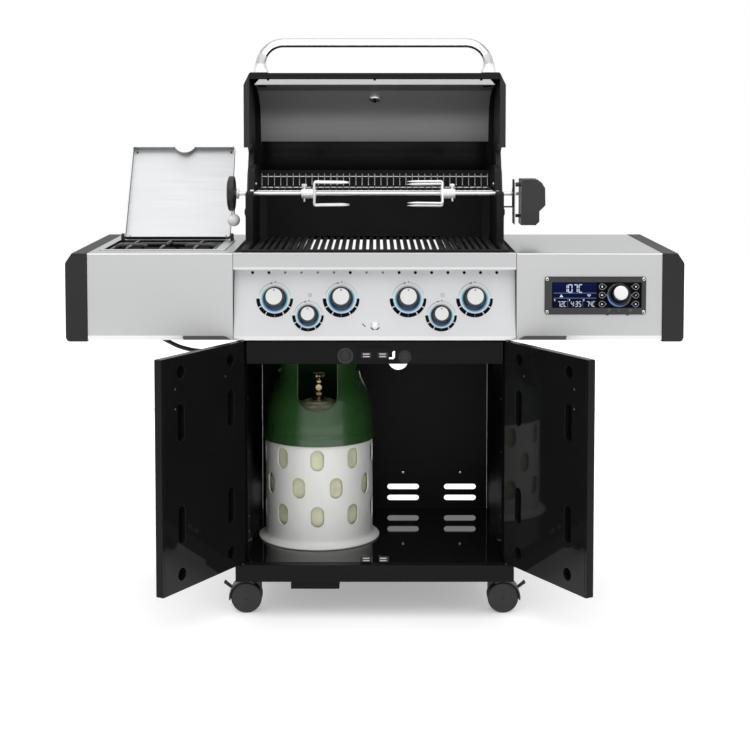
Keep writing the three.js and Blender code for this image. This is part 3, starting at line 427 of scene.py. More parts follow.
M["brass_dull"] = metal_smooth("brass_dull", (0.34, 0.29, 0.15), 0.34)
M["hose_grey"] = coat("hose_grey", (0.012, 0.012, 0.0125), 0.42, 0.35, 900, 0.3, 0.0003, 0.15)
M["caster_face"] = coat("caster_face", (0.018, 0.0185, 0.0195), 0.4, 0.34, 900, 0.3, 0.0003, 0.12)
M["band_steel_painted_shade"] = metal_brushed("band_steel_painted_shade", (0.52, 0.523, 0.527), 0.38, "x", 0.02, 0.10, 0.04, 0.8)
M["shelf_front"] = metal_brushed("shelf_front", (0.52, 0.523, 0.527), 0.42, "x", 0.012, 0.05, 0.03, 0.7)
M["wire_dim"] = metal_smooth("wire_dim", (0.52, 0.52, 0.525), 0.25)
# pale, mostly diffuse steel for the spit collars, forks and grip disc: a painted reflection of the white surroundings
# on chrome, white all round
M["spit_painted_sheen"] = metal_brushed("spit_painted_sheen", (0.86, 0.86, 0.86), 0.34, "x", 0.02, 0.08, 0.04, 0.35)
# vent holes drawn as near-black discs: painted shade inside these holes
VENT_PAINTED_SHADE = {0, 1, 6, 9, 10, 11, 12, 13, 14, 15}


# ------------------------------------------------------------------ mesh helpers
class Bag:
    """Vertices and faces in plan millimetres, with a material number for each face."""

    def __init__(self):
        self.v, self.f, self.m = [], [], []

    def add(self, verts, faces, mi=0):
        b = len(self.v)
        self.v += [tuple(v) for v in verts]
        self.f += [[i + b for i in f] for f in faces]
        self.m += [mi] * len(faces)
        return self

    def box(self, x0, x1, y0, y1, z0, z1, mi=0):
        v = [(x, y, z) for x in (x0, x1) for y in (y0, y1) for z in (z0, z1)]
        f = [(0, 1, 3, 2), (4, 6, 7, 5), (0, 4, 5, 1), (2, 3, 7, 6), (0, 2, 6, 4), (1, 5, 7, 3)]
        return self.add(v, f, mi)

    def lathe(self, profile, origin, axis, n=48, mi=0, a0=0.0, a1=360.0, up=(0, 0, 1)):
        """profile of (radius, distance along the axis); ends on the axis close the solid."""
        ax = Vector(axis).normalized()
        u = Vector(up) if abs(Vector(up).dot(ax)) < 0.9 else Vector((1, 0, 0))
        u = (u - ax * u.dot(ax)).normalized()
        w = ax.cross(u)
        o = Vector(origin)
        full = abs(a1 - a0) > 359.9
        steps = n if full else n + 1
        verts, rows = [], []
        for r, t in profile:
            if r < 1e-6:
                rows.append([len(verts)])
                verts.append(o + ax * t)
            else:
                row = []
                for i in range(steps):
                    a = (a0 + (a1 - a0) * i / n) * RAD
                    row.append(len(verts))
                    verts.append(o + ax * t + (u * math.cos(a) + w * math.sin(a)) * r)
                rows.append(row)
        faces = []
        for ra, rb in zip(rows[:-1], rows[1:]):
            k = max(len(ra), len(rb))
            if k == 1:
                continue
            for i in range(n):
                j = (i + 1) % k if full else i + 1
                if len(ra) == 1:
                    faces.append((ra[0], rb[j], rb[i]))
                elif len(rb) == 1:
                    faces.append((ra[i], ra[j], rb[0]))
                else:
                    faces.append((ra[i], ra[j], rb[j], rb[i]))
        return self.add(verts, faces, mi)

    def prism(self, outline, d0, d1, plane="xz", mi=0):
        """outline of (u, v); plane xz runs along Y, yz along X and xy along Z."""
        to = {"xz": lambda u, v, d: (u, d, v), "yz": lambda u, v, d: (d, u, v), "xy": lambda u, v, d: (u, v, d)}[plane]
        n = len(outline)
        v = [to(a, b, d0) for a, b in outline] + [to(a, b, d1) for a, b in outline]
        f = [list(range(n))[::-1], list(range(n, 2 * n))]
        f += [(i, (i + 1) % n, (i + 1) % n + n, i + n) for i in range(n)]
        return self.add(v, f, mi)

    def sweep(self, pts, section, mi=0, up=(0, 0, 1), closed=False, cap=True):
        """section(i, t) gives (a, b) offsets in the frame across the path; a lies across up."""
        pts = [Vector(p) for p in pts]
        n = len(pts)
        rows, verts = [], []
        ref = Vector(up)
        prev = None
        for i, p in enumerate(pts):
            if closed:
                t = pts[(i + 1) % n] - pts[i - 1]
            else:
                t = pts[min(n - 1, i + 1)] - pts[max(0, i - 1)]
            t.normalize()
            if prev is None:
                b = ref - t * ref.dot(t)
                if b.length < 1e-3:
                    b = Vector((1, 0, 0)) - t * t.x
            else:
                b = prev - t * prev.dot(t)
            b.normalize()
            prev = b
            a = t.cross(b)
            row = []
            for ca, cb in section(i, i / max(1, n - 1)):
                row.append(len(verts))
                verts.append(p + a * ca + b * cb)
            rows.append(row)
        k = len(rows[0])
        faces = []
        m = n if closed else n - 1
        for i in range(m):
            ra, rb = rows[i], rows[(i + 1) % n]
            for j in range(k):
                q = (j + 1) % k
                faces.append((ra[j], ra[q], rb[q], rb[j]))
        if cap and not closed:
            faces.append(rows[0][::-1])
            faces.append(rows[-1])
        return self.add(verts, faces, mi)

    def rod(self, p, q, r, mi=0, n=16, r2=None):
        p, q = Vector(p), Vector(q)
        d = q - p
        return self.lathe([(0, 0), (r, 0), (r if r2 is None else r2, d.length), (0, d.length)], p, d, n, mi)

    def wire(self, pts, r, mi=0, n=10, closed=False):
        ring = [(r * math.cos(2 * math.pi * j / n), r * math.sin(2 * math.pi * j / n)) for j in range(n)]
        return self.sweep(pts, lambda i, t: ring, mi, closed=closed)


def spline(points, per=8, closed=False):
    """Centripetal Catmull-Rom through the points."""
    pts = [Vector(p) for p in points]
    n = len(pts)
    out = []
    rng = range(n if closed else n - 1)
    for i in rng:
        if closed:
            p0, p1, p2, p3 = pts[i - 1], pts[i], pts[(i + 1) % n], pts[(i + 2) % n]
        else:
            p1, p2 = pts[i], pts[i + 1]
            p0 = pts[i - 1] if i > 0 else p1 + (p1 - p2)
            p3 = pts[i + 2] if i + 2 < n else p2 + (p2 - p1)
        t0 = 0.0
        t1 = t0 + max(1e-6, (p1 - p0).length) ** 0.5
        t2 = t1 + max(1e-6, (p2 - p1).length) ** 0.5
        t3 = t2 + max(1e-6, (p3 - p2).length) ** 0.5
        for k in range(per):
            t = t1 + (t2 - t1) * k / per
            a1 = p0 * ((t1 - t) / (t1 - t0)) + p1 * ((t - t0) / (t1 - t0))
            a2 = p1 * ((t2 - t) / (t2 - t1)) + p2 * ((t - t1) / (t2 - t1))
            a3 = p2 * ((t3 - t) / (t3 - t2)) + p3 * ((t - t2) / (t3 - t2))
            b1 = a1 * ((t2 - t) / (t2 - t0)) + a2 * ((t - t0) / (t2 - t0))
            b2 = a2 * ((t3 - t) / (t3 - t1)) + a3 * ((t - t1) / (t3 - t1))
            out.append(b1 * ((t2 - t) / (t2 - t1)) + b2 * ((t - t1) / (t2 - t1)))
    if not closed:
        out.append(pts[-1])
    return out


def slot_shape(cu, cv, w, h, n=12, flat=False):
    """Outline of a slot; long side upright, or level when flat."""
    if flat:
        return [(cu + (b - cv), cv + (a - cu)) for a, b in slot_shape(cu, cv, min(w, h), max(w, h), n)][::-1]
    r, k = w / 2, h / 2 - w / 2
    up = [(cu + r * math.cos(math.pi * i / n), cv + k + r * math.sin(math.pi * i / n)) for i in range(n + 1)]
    dn = [(cu + r * math.cos(math.pi + math.pi * i / n), cv - k + r * math.sin(math.pi + math.pi * i / n)) for i in range(n + 1)]
    return up + dn


def round_rect(u0, u1, v0, v1, r, n=5):
    out = []
    for cu, cv, a0 in ((u1 - r, v1 - r, 0), (u0 + r, v1 - r, 90), (u0 + r, v0 + r, 180), (u1 - r, v0 + r, 270)):
        for i in range(n + 1):
            a = (a0 + 90 * i / n) * RAD
            out.append((cu + r * math.cos(a), cv + r * math.sin(a)))
    return out


def circle(cu, cv, r, n=32):
    return [(cu + r * math.cos(2 * math.pi * i / n), cv + r * math.sin(2 * math.pi * i / n)) for i in range(n)]


def mesh_of(name, bag, mats, sharp=38, merge=0.0004):
    me = bpy.data.meshes.new(name)
    me.from_pydata([P(*v) for v in bag.v], [], bag.f)
    for m in mats:
        me.materials.append(M[m])
    me.polygons.foreach_set("material_index", bag.m)
    bm = bmesh.new()
    bm.from_mesh(me)
    bmesh.ops.remove_doubles(bm, verts=bm.verts, dist=merge / 1000)
    bmesh.ops.recalc_face_normals(bm, faces=bm.faces)
    bm.to_mesh(me)
    bm.free()
    me.polygons.foreach_set("use_smooth", [True] * len(me.polygons))
    me.set_sharp_from_angle(angle=math.radians(sharp))
    return me


def link(name, me):
    o = bpy.data.objects.new(name, me)
    scene.collection.objects.link(o)
    return o


def settle(o, name=None, sharp=38):
    """Takes the object's modifiers into its mesh."""
    dg = bpy.context.evaluated_depsgraph_get()
    dg.update()
    me = bpy.data.meshes.new_from_object(o.evaluated_get(dg))
    o.modifiers.clear()
    o.data = me
    me.polygons.foreach_set("use_smooth", [True] * len(me.polygons))
    me.set_sharp_from_angle(angle=math.radians(sharp))
    return o


def carve(o, cutters, op="DIFFERENCE", sharp=38):
    for i, c in enumerate(cutters):
        me = mesh_of("cutter", c, ["void"], merge=0.0001) if isinstance(c, Bag) else c
        co = link("cutter_%d" % i, me)
        m = o.modifiers.new("cut", "BOOLEAN")
        m.object = co
        m.operation = op
        m.solver = "EXACT"
        co["scrap"] = 1
    settle(o, sharp=sharp)
    for c in [x for x in scene.objects if x.get("scrap")]:
        bpy.data.objects.remove(c, do_unlink=True)
    return o


def soften(o, width, segments=2, angle=30, weighted=True):
    b = o.modifiers.new("edge", "BEVEL")
    b.width = width / 1000
    b.segments = segments
    b.limit_method = "ANGLE"
    b.angle_limit = math.radians(angle)
    b.miter_outer = "MITER_ARC"
    if weighted:
        w = o.modifiers.new("shade", "WEIGHTED_NORMAL")
        w.keep_sharp = False
    return o


def piece(name, bag, mats, body, replaces=(), sharp=38, edge=0.0, segments=2, angle=30, cuts=None, origin=None):
    o = link(name, mesh_of(name, bag, mats, sharp))
    if cuts:
        carve(o, cuts, sharp=sharp)
    if edge:
        o.data.polygons.foreach_set("use_smooth", [True] * len(o.data.polygons))
        soften(o, edge, segments, angle)
    if origin is not None:
        at = P(*origin)
        o.data.transform(Matrix.Translation(-at))
        o.location = at
    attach(o, body)
    if replaces:
        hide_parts(*([replaces] if isinstance(replaces, str) else replaces))
    return o


def dress(node, mat, edge=0.0, segments=2, angle=30):
    """A CAD node that keeps its shape: better finish, softened edges."""
    o = frame["nodes"][node]
    if not o.data.materials:
        o.data.materials.append(M[mat])
    for i in range(len(o.material_slots)):
        o.material_slots[i].material = M[mat]
    if edge:
        soften(o, edge, segments, angle)
    return o


# ------------------------------------------------------------------ floor
floor_bag = Bag()
floor_bag.add([(-9000, -5200, -0.6), (9000, -5200, -0.6), (9000, 9000, -0.6), (-9000, 9000, -0.6)], [(0, 1, 2, 3)])
floor = link("floor", mesh_of("floor", floor_bag, ["floor"]))

# ------------------------------------------------------------------ CAD nodes that keep their shape
DRESS = {
    "lid_skin": "skin_steel", "lid_liner": "liner_steel", "lid_cap_left": "cap_plastic", "lid_cap_right": "cap_plastic",
    "lid_handle": "chrome", "lid_thermometer": "satin",
    "fascia": "panel_steel", "shelf_left": "shelf_steel", "shelf_right": "shelf_steel",
    "end_cap_left": "cap_plastic", "end_cap_right": "cap_plastic", "display_module": "frame_grey",
    "controller_knob": "knob_face", "igniter_button": "black_soft",
    "knob_1": "knob_side", "knob_2": "knob_side", "knob_3": "knob_side", "knob_4": "knob_side",
    "knob_small_left": "knob_side", "knob_small_right": "knob_side",
    "side_burner_bowl": "shelf_steel", "side_burner_grate": "iron", "side_burner_lid": "pale_steel",
    "side_burner_hose": "rubber", "firebox": "cast_in", "grease_tray": "tray_steel", "burner_set": "burner_steel",
    "flame_tamers": "burner_steel", "grid_left": "iron", "grid_right": "iron", "warming_rack": "wire",
    "spit_rod": "spit_steel", "spit_collar": "spit_painted_sheen", "rack_fence": "wire", "spit_grip": "black_soft",
    "motor": "motor_plastic", "motor_bracket": "chrome", "motor_switch": "red",
    "door_left": "black_paint", "door_right": "black_paint", "base_tray": "black_soft", "back_panel": "black_paint",
    "side_panel_left": "black_paint", "side_panel_right": "black_paint", "front_rail": "black_paint",
    "bottle_shroud": "white_shell", "bottle_top": "green_shell", "bottle_vessel": "vessel", "bottle_valve": "brass",
    "bottle_valve_wheel": "black_soft",
}
for k in ("front_left", "front_right", "rear_left", "rear_right"):
    DRESS["caster_fork_" + k] = "caster_plastic"
    DRESS["caster_wheel_" + k] = "caster_plastic"
for k in ("left", "right"):
    DRESS["brake_lever_" + k] = "caster_plastic"
for k, v in DRESS.items():
    dress(k, v)

# ------------------------------------------------------------------ control panel
LEAN = math.atan2(40, 151)
N_P = Vector((0, -math.cos(LEAN), math.sin(LEAN)))
V_P = Vector((0, math.sin(LEAN), math.cos(LEAN)))
U_P = Vector((1, 0, 0))


def panel_y(z):
    return (z - 733) * math.tan(LEAN)


def on_panel(x, z, t=0.0):
    return Vector((x, panel_y(z), z)) + N_P * t


def arc_band(bag, o, u, v, n, a0, a1, in0, in1, out0, out1, t0, t1, mi=0, steps=18):
    """A flat raised band that follows an arc; its inner and outer radii change from start to end."""
    top, bot = [], []
    for i in range(steps + 1):
        f = i / steps
        a = (a0 + (a1 - a0) * f) * RAD
        d = u * math.cos(a) + v * math.sin(a)
        ri, ro = in0 + (in1 - in0) * f, out0 + (out1 - out0) * f
        top.append((o + d * ri + n * t1, o + d * ro + n * t1))
        bot.append((o + d * ri + n * t0, o + d * ro + n * t0))
    vs, fs = [], []
    for (a, b), (c, d) in zip(top, bot):
        vs += [a, b, c, d]
    for i in range(steps):
        k = i * 4
        fs += [(k, k + 1, k + 5, k + 4), (k + 2, k + 6, k + 7, k + 3), (k, k + 4, k + 6, k + 2), (k + 1, k + 3, k + 7, k + 5)]
    fs += [(0, 2, 3, 1), (steps * 4, steps * 4 + 1, steps * 4 + 3, steps * 4 + 2)]
    bag.add(vs, fs, mi)


def flat_poly(bag, o, u, v, n, outline, t0, t1, mi=0):
    k = len(outline)
    vs = [o + u * a + v * b + n * t0 for a, b in outline] + [o + u * a + v * b + n * t1 for a, b in outline]
    fs = [list(range(k))[::-1], list(range(k, 2 * k))] + [(i, (i + 1) % k, (i + 1) % k + k, i + k) for i in range(k)]
    bag.add(vs, fs, mi)


def fluted(bag, profile, o, axis, u, n=96, lobes=24, mi=0):
    """profile rows of (radius, distance, flute depth)."""
    ax = Vector(axis).normalized()
    u = (Vector(u) - ax * Vector(u).dot(ax)).normalized()
    w = ax.cross(u)
    vs, rows = [], []
    for r, t, dep in profile:
        if r < 1e-6:
            rows.append([len(vs)])
            vs.append(o + ax * t)
            continue
        row = []
        for i in range(n):
            a = 2 * math.pi * i / n
            k = r - dep * (0.5 - 0.5 * math.cos(lobes * a)) ** 2
            row.append(len(vs))
            vs.append(o + ax * t + (u * math.cos(a) + w * math.sin(a)) * k)
        rows.append(row)
    fs = []
    for ra, rb in zip(rows[:-1], rows[1:]):
        for i in range(n):
            j = (i + 1) % n
            if len(ra) == 1:
                fs.append((ra[0], rb[j], rb[i]))
            elif len(rb) == 1:
                fs.append((ra[i], ra[j], rb[0]))
            else:
                fs.append((ra[i], ra[j], rb[j], rb[i]))
    bag.add(vs, fs, mi)


BIG = [(-255.9, 825.5), (-85.7, 825.5), (85.7, 825.5), (255.9, 825.5)]
SMALL = [(-170.1, 783.5), (170.1, 783.5)]

fas = Bag()
fas.prism([(12.6, 945), (1.2, 945), (0, 943.8), (0, 905.8), (0.9, 905), (38.6, 905), (40, 903.6), (40, 884), (0, 733), (0, 721.8), (0.8, 721),
           (20, 721), (20, 724.5), (3.5, 724.5), (3.5, 732.5), (43.5, 883.6), (43.5, 908.5), (3.5, 908.5), (3.5, 941.5), (12.6, 941.5)],
          -360.2, 360.2, "yz")
# top flange, upright band and ledge take a darker copy of the panel steel: painted shade
for i in range(2, 7):
    fas.m[i] = 1
for sx in (-1, 1):
    # hemmed side of the sloping panel
    fas.sweep([(sx * 359.4, -0.4, 734), (sx * 359.4, 39.4, 884)], lambda i, t: [(-0.8, -0.7), (0.8, -0.7), (0.8, 0.7), (-0.8, 0.7)], up=(0, -1, 0))
fasc = piece("fascia_shell", fas, ["panel_steel", "band_steel_painted_shade"], "cart", ["fascia"], edge=0.5,
             cuts=[Bag().lathe([(0, -8), (6.7, -8), (6.7, 6), (0, 6)], on_panel(0.8, 759), N_P, 32, 0)])

# lighter strips on the crease under the upper band and on the bottom lip: painted highlights
highlight_strips = Bag()
highlight_strips.box(-360, 360, -0.5, 1.0, 902.6, 908.4)
highlight_strips.box(-360, 360, -0.5, 1.2, 721.4, 731.6)
piece("fascia_highlight_strips", highlight_strips, ["panel_painted_highlight"], "cart", edge=0.4)

vent = Bag()
# each vent is a flat disc with a raised rim: near-black discs are painted shade inside the hole, grey discs paint what
# shows through the other holes
for i in range(16):
    x = -313.5 + 41.8 * i
    painted_shade_hole = i in VENT_PAINTED_SHADE
    o = Vector((x, 40, 890.5))
    r = 3.9 if painted_shade_hole else 3.1
    vent.lathe([(0, 0.4), (r - 0.1, 0.4), (r, 0.1)], o, (0, -1, 0), 24, 0 if painted_shade_hole else 1)
    vent.lathe([(r, 0.0), (r + 0.1, 0.5), (r + 0.6, 0.4), (r + 0.9, 0.0)], o, (0, -1, 0), 24, 2)
piece("fascia_vents", vent, ["void", "vent_grey", "panel_steel"], "cart")

bez, ink, faint = Bag(), Bag(), Bag()
for k, (x, z) in enumerate(BIG + SMALL):
    big = k < 4
    R = 38.5 if big else 34.0
    s = (37.9 if big else 32.6) / 38.5
    R = 38.5 * s
    o = on_panel(x, z)
    ring = Bag()
    ring.lathe([(28.6 * s, 0.3), (30.0 * s, 0.8), (31.4 * s, 1.6), (33.4 * s, 2.9), (35.6 * s, 4.0), (37.3 * s, 4.5), (38.2 * s, 4.2),
                (R, 3.4), (R, 0.2)], o, N_P, 112, 0, up=V_P)
    piece("knob_ring_%d" % (k + 1), ring, ["ring_glow" if big else "ring_glow_s"], "cart", origin=o)
    bez.lathe([(0, 0.2), (28.6 * s, 0.2), (29.6 * s, 0.5)], o, N_P, 48, 0)
    bez.lathe([(0, 13.5), (4.6, 13.5), (4.6, 0.2)], o, N_P, 20, 1)
    gap = 1.7
    a = ((38.4, 38.8, 39.8), (47.4, 48.8, 46.8)) if big else ((33.0, 33.0, 33.8), (41.0, 41.2, 40.0))
    for j in range(6):
        f0, f1 = j / 6, (j + 1) / 6
        g0 = gap if j not in (0, 3) else (0 if j == 0 else 0.25)
        g1 = gap if j not in (5, 2) else (0 if j == 5 else 0.25)
        lerp = lambda p, f: p[0] + (p[1] - p[0]) * 2 * f if f < 0.5 else p[1] + (p[2] - p[1]) * (2 * f - 1)
        arc_band(ink, o, U_P, V_P, N_P, 180 + 180 * f0 + g0, 180 + 180 * f1 - g1, lerp(a[0], f0), lerp(a[0], f1),
                 lerp(a[1], f0), lerp(a[1], f1), 0.05, 0.35, 0, 14)
    r1 = 41.0 if big else 36.2
    arc_band(ink, o, U_P, V_P, N_P, 104, 168, r1 - 0.45, r1 - 0.3, r1 + 0.45, r1 + 0.3, 0.05, 0.33, 0, 24)
    th = 101 * RAD
    tip = o + (U_P * math.cos(96 * RAD) + V_P * math.sin(96 * RAD)) * r1
    base = o + (U_P * math.cos(105 * RAD) + V_P * math.sin(105 * RAD)) * r1
    d = (tip - base).normalized()
    w = N_P.cross(d)
    tri = [tip, base + w * 2.1, base - w * 2.1]
    ink.add([p + N_P * 0.05 for p in tri] + [p + N_P * 0.36 for p in tri], [(2, 1, 0), (3, 4, 5), (0, 1, 4, 3), (1, 2, 5, 4), (2, 0, 3, 5)], 0)
    r2 = r1 + 1.6
    ink.lathe([(0, 0.36), (1.6, 0.36), (1.7, 0.05)], o + V_P * r2 + U_P * 1.2, N_P, 14, 0)
    arc_band(faint, o, U_P, V_P, N_P, 12, 84, r1 - 0.25, r1 - 0.25, r1 + 0.25, r1 + 0.25, 0.05, 0.30, 0, 24)
piece("knob_wells", bez, ["black_soft", "chrome_dark"], "cart")

# small ring symbols of the burners, the push-button marks and the slit beside it
for x, z in ((-170.1, 783.5 + 51), (170.1, 783.5 + 51)):
    o = on_panel(x + 4, z)
    arc_band(faint, o, U_P, V_P, N_P, 0, 359.9, 4.3, 4.3, 5.0, 5.0, 0.05, 0.33, 0, 24)
    arc_band(faint, o, U_P, V_P, N_P, 0, 359.9, 1.2, 1.2, 1.8, 1.8, 0.05, 0.33, 0, 16)
ob = on_panel(0.8, 759)
for a0, a1 in ((206, 254), (286, 334)):
    arc_band(ink, ob, U_P, V_P, N_P, a0, a1, 10.4, 10.4, 13.2, 13.2, 0.05, 0.36, 0, 12)
for a0, a1 in ((150, 190), (-10, 30)):
    arc_band(faint, ob, U_P, V_P, N_P, a0, a1, 10.0, 10.0, 10.8, 10.8, 0.05, 0.36, 0, 12)
for a0, a1 in ((262, 278),):
    arc_band(faint, ob, U_P, V_P, N_P, a0, a1, 10.0, 10.0, 11.6, 11.6, 0.05, 0.36, 0, 6)
osl = on_panel(-27.5, 759)
ca, sa = math.cos(-47 * RAD), math.sin(-47 * RAD)
outl = [(p * ca - q * sa, p * sa + q * ca) for p, q in slot_shape(0, 0, 2.2, 12.4, 6, True)]
flat_poly(ink, osl, U_P, V_P, N_P, outl, 0.03, 0.30)
piece("panel_print", ink, ["ink"], "cart")
piece("panel_print_faint", faint, ["ink_grey"], "cart")

col = Bag()
col.lathe([(6.6, 0.1), (6.8, 1.4), (8.0, 1.6), (8.8, 1.2), (9.0, 0.1)], ob, N_P, 40, 0)
piece("igniter_collar", col, ["satin"], "cart")
btn = Bag()
btn.lathe([(0, 4.0), (3.6, 3.9), (5.4, 3.5), (6.2, 2.6), (6.4, 1.6), (6.4, 0.3), (0, 0.3)], ob, N_P, 40, 0)
piece("igniter_cap", btn, ["button_white"], "button", ["igniter_button"])

# knobs
for k, (x, z) in enumerate(BIG + SMALL):
    big = k < 4
    body = "gas_knob_%d" % (k + 1) if big else ("small_knob_left", "small_knob_right")[k - 4]
    node = "knob_%d" % (k + 1) if big else ("knob_small_left", "knob_small_right")[k - 4]
    o = on_panel(x, z)
    kb = Bag()
    if big:
        fluted(kb, [(0, 5.0, 0), (5.4, 5.0, 0), (5.4, 1.6, 0), (29.2, 1.6, 0), (29.8, 2.4, 0), (29.8, 5.9, 0), (29.2, 7.2, 0), (26.0, 9.3, 0),
                    (25.2, 10.6, 0.3), (24.9, 13.5, 0.5), (23.9, 34.5, 0.5), (23.7, 36.6, 0.25), (23.3, 38.4, 0), (22.4, 39.6, 0), (21.0, 40.1, 0), (21.0, 39.5, 0)],
               o, N_P, V_P, 120, 30, 0)
        kb.lathe([(21.0, 39.4), (20.8, 40.3), (20.0, 40.55), (18.6, 40.4), (12, 40.15), (0, 40.05)], o, N_P, 96, 1, up=V_P)
        kb.lathe([(0, 40.9), (1.6, 40.8), (2.5, 40.45), (2.7, 40.0)], o + V_P * 16.4, N_P, 24, 2)
    else:
        fluted(kb, [(0, 5.0, 0), (5.4, 5.0, 0), (5.4, 1.6, 0), (25.4, 1.6, 0), (26.0, 2.4, 0), (26.0, 5.9, 0), (25.4, 7.2, 0), (22.0, 9.3, 0),
                    (21.2, 10.6, 0.3), (20.8, 13.5, 0.5), (19.8, 30.8, 0.5), (19.5, 33.0, 0.25), (19.2, 34.8, 0), (18.3, 35.8, 0), (17.2, 36.1, 0), (17.2, 35.5, 0)],
               o, N_P, V_P, 112, 28, 0)
        kb.lathe([(17.2, 35.4), (17.0, 36.3), (16.2, 36.55), (14.8, 36.4), (9, 36.15), (0, 36.05)], o, N_P, 88, 1, up=V_P)
        kb.lathe([(0, 36.9), (1.4, 36.8), (2.2, 36.45), (2.4, 36.0)], o + V_P * 12.6, N_P, 24, 2)
    piece("%s_knob" % body, kb, ["knob_side", "knob_face", "dot_blue"], body, [node], sharp=50)

# ------------------------------------------------------------------ controller
cf = Bag()
cf.prism(round_rect(432.3, 690.3, 787.8, 885, 7, 8), -3.6, -0.4, "xz")
cfo = piece("controller_frame", cf, ["frame_grey"], "cart", ["display_module"], edge=0.8,
            cuts=[Bag().prism(round_rect(451, 679.4, 804.7, 870.7, 2.5, 4), -6, -2.8, "xz")])
FY = Vector((0, -1, 0))
XV, ZV = Vector((1, 0, 0)), Vector((0, 0, 1))
gl = Bag()
gl.prism(round_rect(451.4, 679.0, 805.1, 870.3, 2.2, 4), -3.15, -2.5, "xz")
piece("controller_glass", gl, ["glass_black"], "cart", edge=0.2)
lc = Bag()
lc.prism(round_rect(454.3, 563.7, 805.6, 869.7, 1, 3), -3.3, -3.0, "xz")
piece("controller_screen", lc, ["lcd"], "cart", origin=(509, -3, 837.6))
SO = Vector((0, -3.3, 0))


def scr(bag, outline, mi=0, t1=0.16):
    flat_poly(bag, SO, XV, ZV, FY, outline, 0.0, t1, mi)


def seg7(bag, x, z, w, h, th, on, slant=0.0, mi=0):
    """Seven-segment digit; z is its foot, on lists segments a to g."""
    g, m = th * 0.16, h / 2
    t = th
    S = {
        "a": [(g + t * .2, h), (w - g - t * .2, h), (w - g - t, h - t), (g + t, h - t)],
        "d": [(g + t, t), (w - g - t, t), (w - g - t * .2, 0), (g + t * .2, 0)],
        "g": [(g + t * .6, m), (g + t * 1.1, m + t / 2), (w - g - t * 1.1, m + t / 2), (w - g - t * .6, m), (w - g - t * 1.1, m - t / 2), (g + t * 1.1, m - t / 2)],
        "f": [(0, h - g - t * .2), (t, h - g - t), (t, m + g + t * .5), (t * .5, m + g), (0, m + g + t * .5)],
        "b": [(w, h - g - t * .2), (w, m + g + t * .5), (w - t * .5, m + g), (w - t, m + g + t * .5), (w - t, h - g - t)],
        "e": [(0, g + t * .2), (0, m - g - t * .5), (t * .5, m - g), (t, m - g - t * .5), (t, g + t)],
        "c": [(w, g + t * .2), (w - t, g + t), (w - t, m - g - t * .5), (w - t * .5, m - g), (w, m - g - t * .5)],
    }
    for k in on:
        scr(bag, [(x + a + slant * b, z + b) for a, b in S[k]], mi)


DIG = {"0": "abcdef", "1": "bc", "2": "abged", "3": "abgcd", "4": "fgbc", "5": "afgcd", "7": "abc", "C": "adef"}
dg = Bag()
hb, zb = 21.4, 843.9
for ch, x, w in (("1", 483.6, 6.4), ("0", 491.6, 11.2), ("7", 505.6, 10.4), ("C", 518.4, 10.2)):
    seg7(dg, x, zb, w, hb, 2.3, DIG[ch])
hs, zs = 14.0, 807.9
for txt in ((("7", 464.8), ("2", 472.6), ("C", 480.6)), (("4", 498.8), ("3", 509.4), ("5", 518.2)), (("7", 538.2), ("4", 545.8), ("C", 553.8))):
    for ch, x in txt:
        seg7(dg, x, zs, 6.6, hs, 1.35, DIG[ch], 0.06)
for z in (812.0, 817.6):
    scr(dg, [(506.9 + a, z + b) for a, b in circle(0, 0, 0.75, 8)])
scr(dg, [(470.1, 832.4), (479.5, 832.4), (474.8, 839.8)])
# fan-shaped signal symbol
for r0, r1 in ((0.0, 2.2), (3.2, 4.7), (5.6, 7.2)):
    pts = [(545.2 + r1 * math.sin(a * RAD), 832.6 + r1 * math.cos(a * RAD)) for a in range(-45, 46, 9)]
    pts += [(545.2 + r0 * math.sin(a * RAD), 832.6 + r0 * math.cos(a * RAD)) for a in range(45, -46, -9)] if r0 else [(545.2, 832.6)]
    scr(dg, pts)
for x in (458.0, 495.4, 532.0):
    scr(dg, [(x + a, 825.6 + b) for a, b in circle(0, 0, 1.7, 12)])
    scr(dg, [(x - 0.4 + a * 0.5, 823.8 + b) for a, b in [(0, 0), (1.6, 0), (1.6, -2.6), (0, -2.6)]])
piece("controller_digits", dg, ["lcd_digit"], "cart")
ln = Bag()
for z0, z1 in ((842.1, 843.5), (829.3, 830.6)):
    scr(ln, [(454.8, z0), (563.2, z0), (563.2, z1), (454.8, z1)], 0, 0.10)
for x in (490.5, 528.8):
    scr(ln, [(x, 806.6), (x + 0.7, 806.6), (x + 0.7, 829.3), (x, 829.3)], 0, 0.10)
piece("controller_lines", ln, ["lcd_line"], "cart")

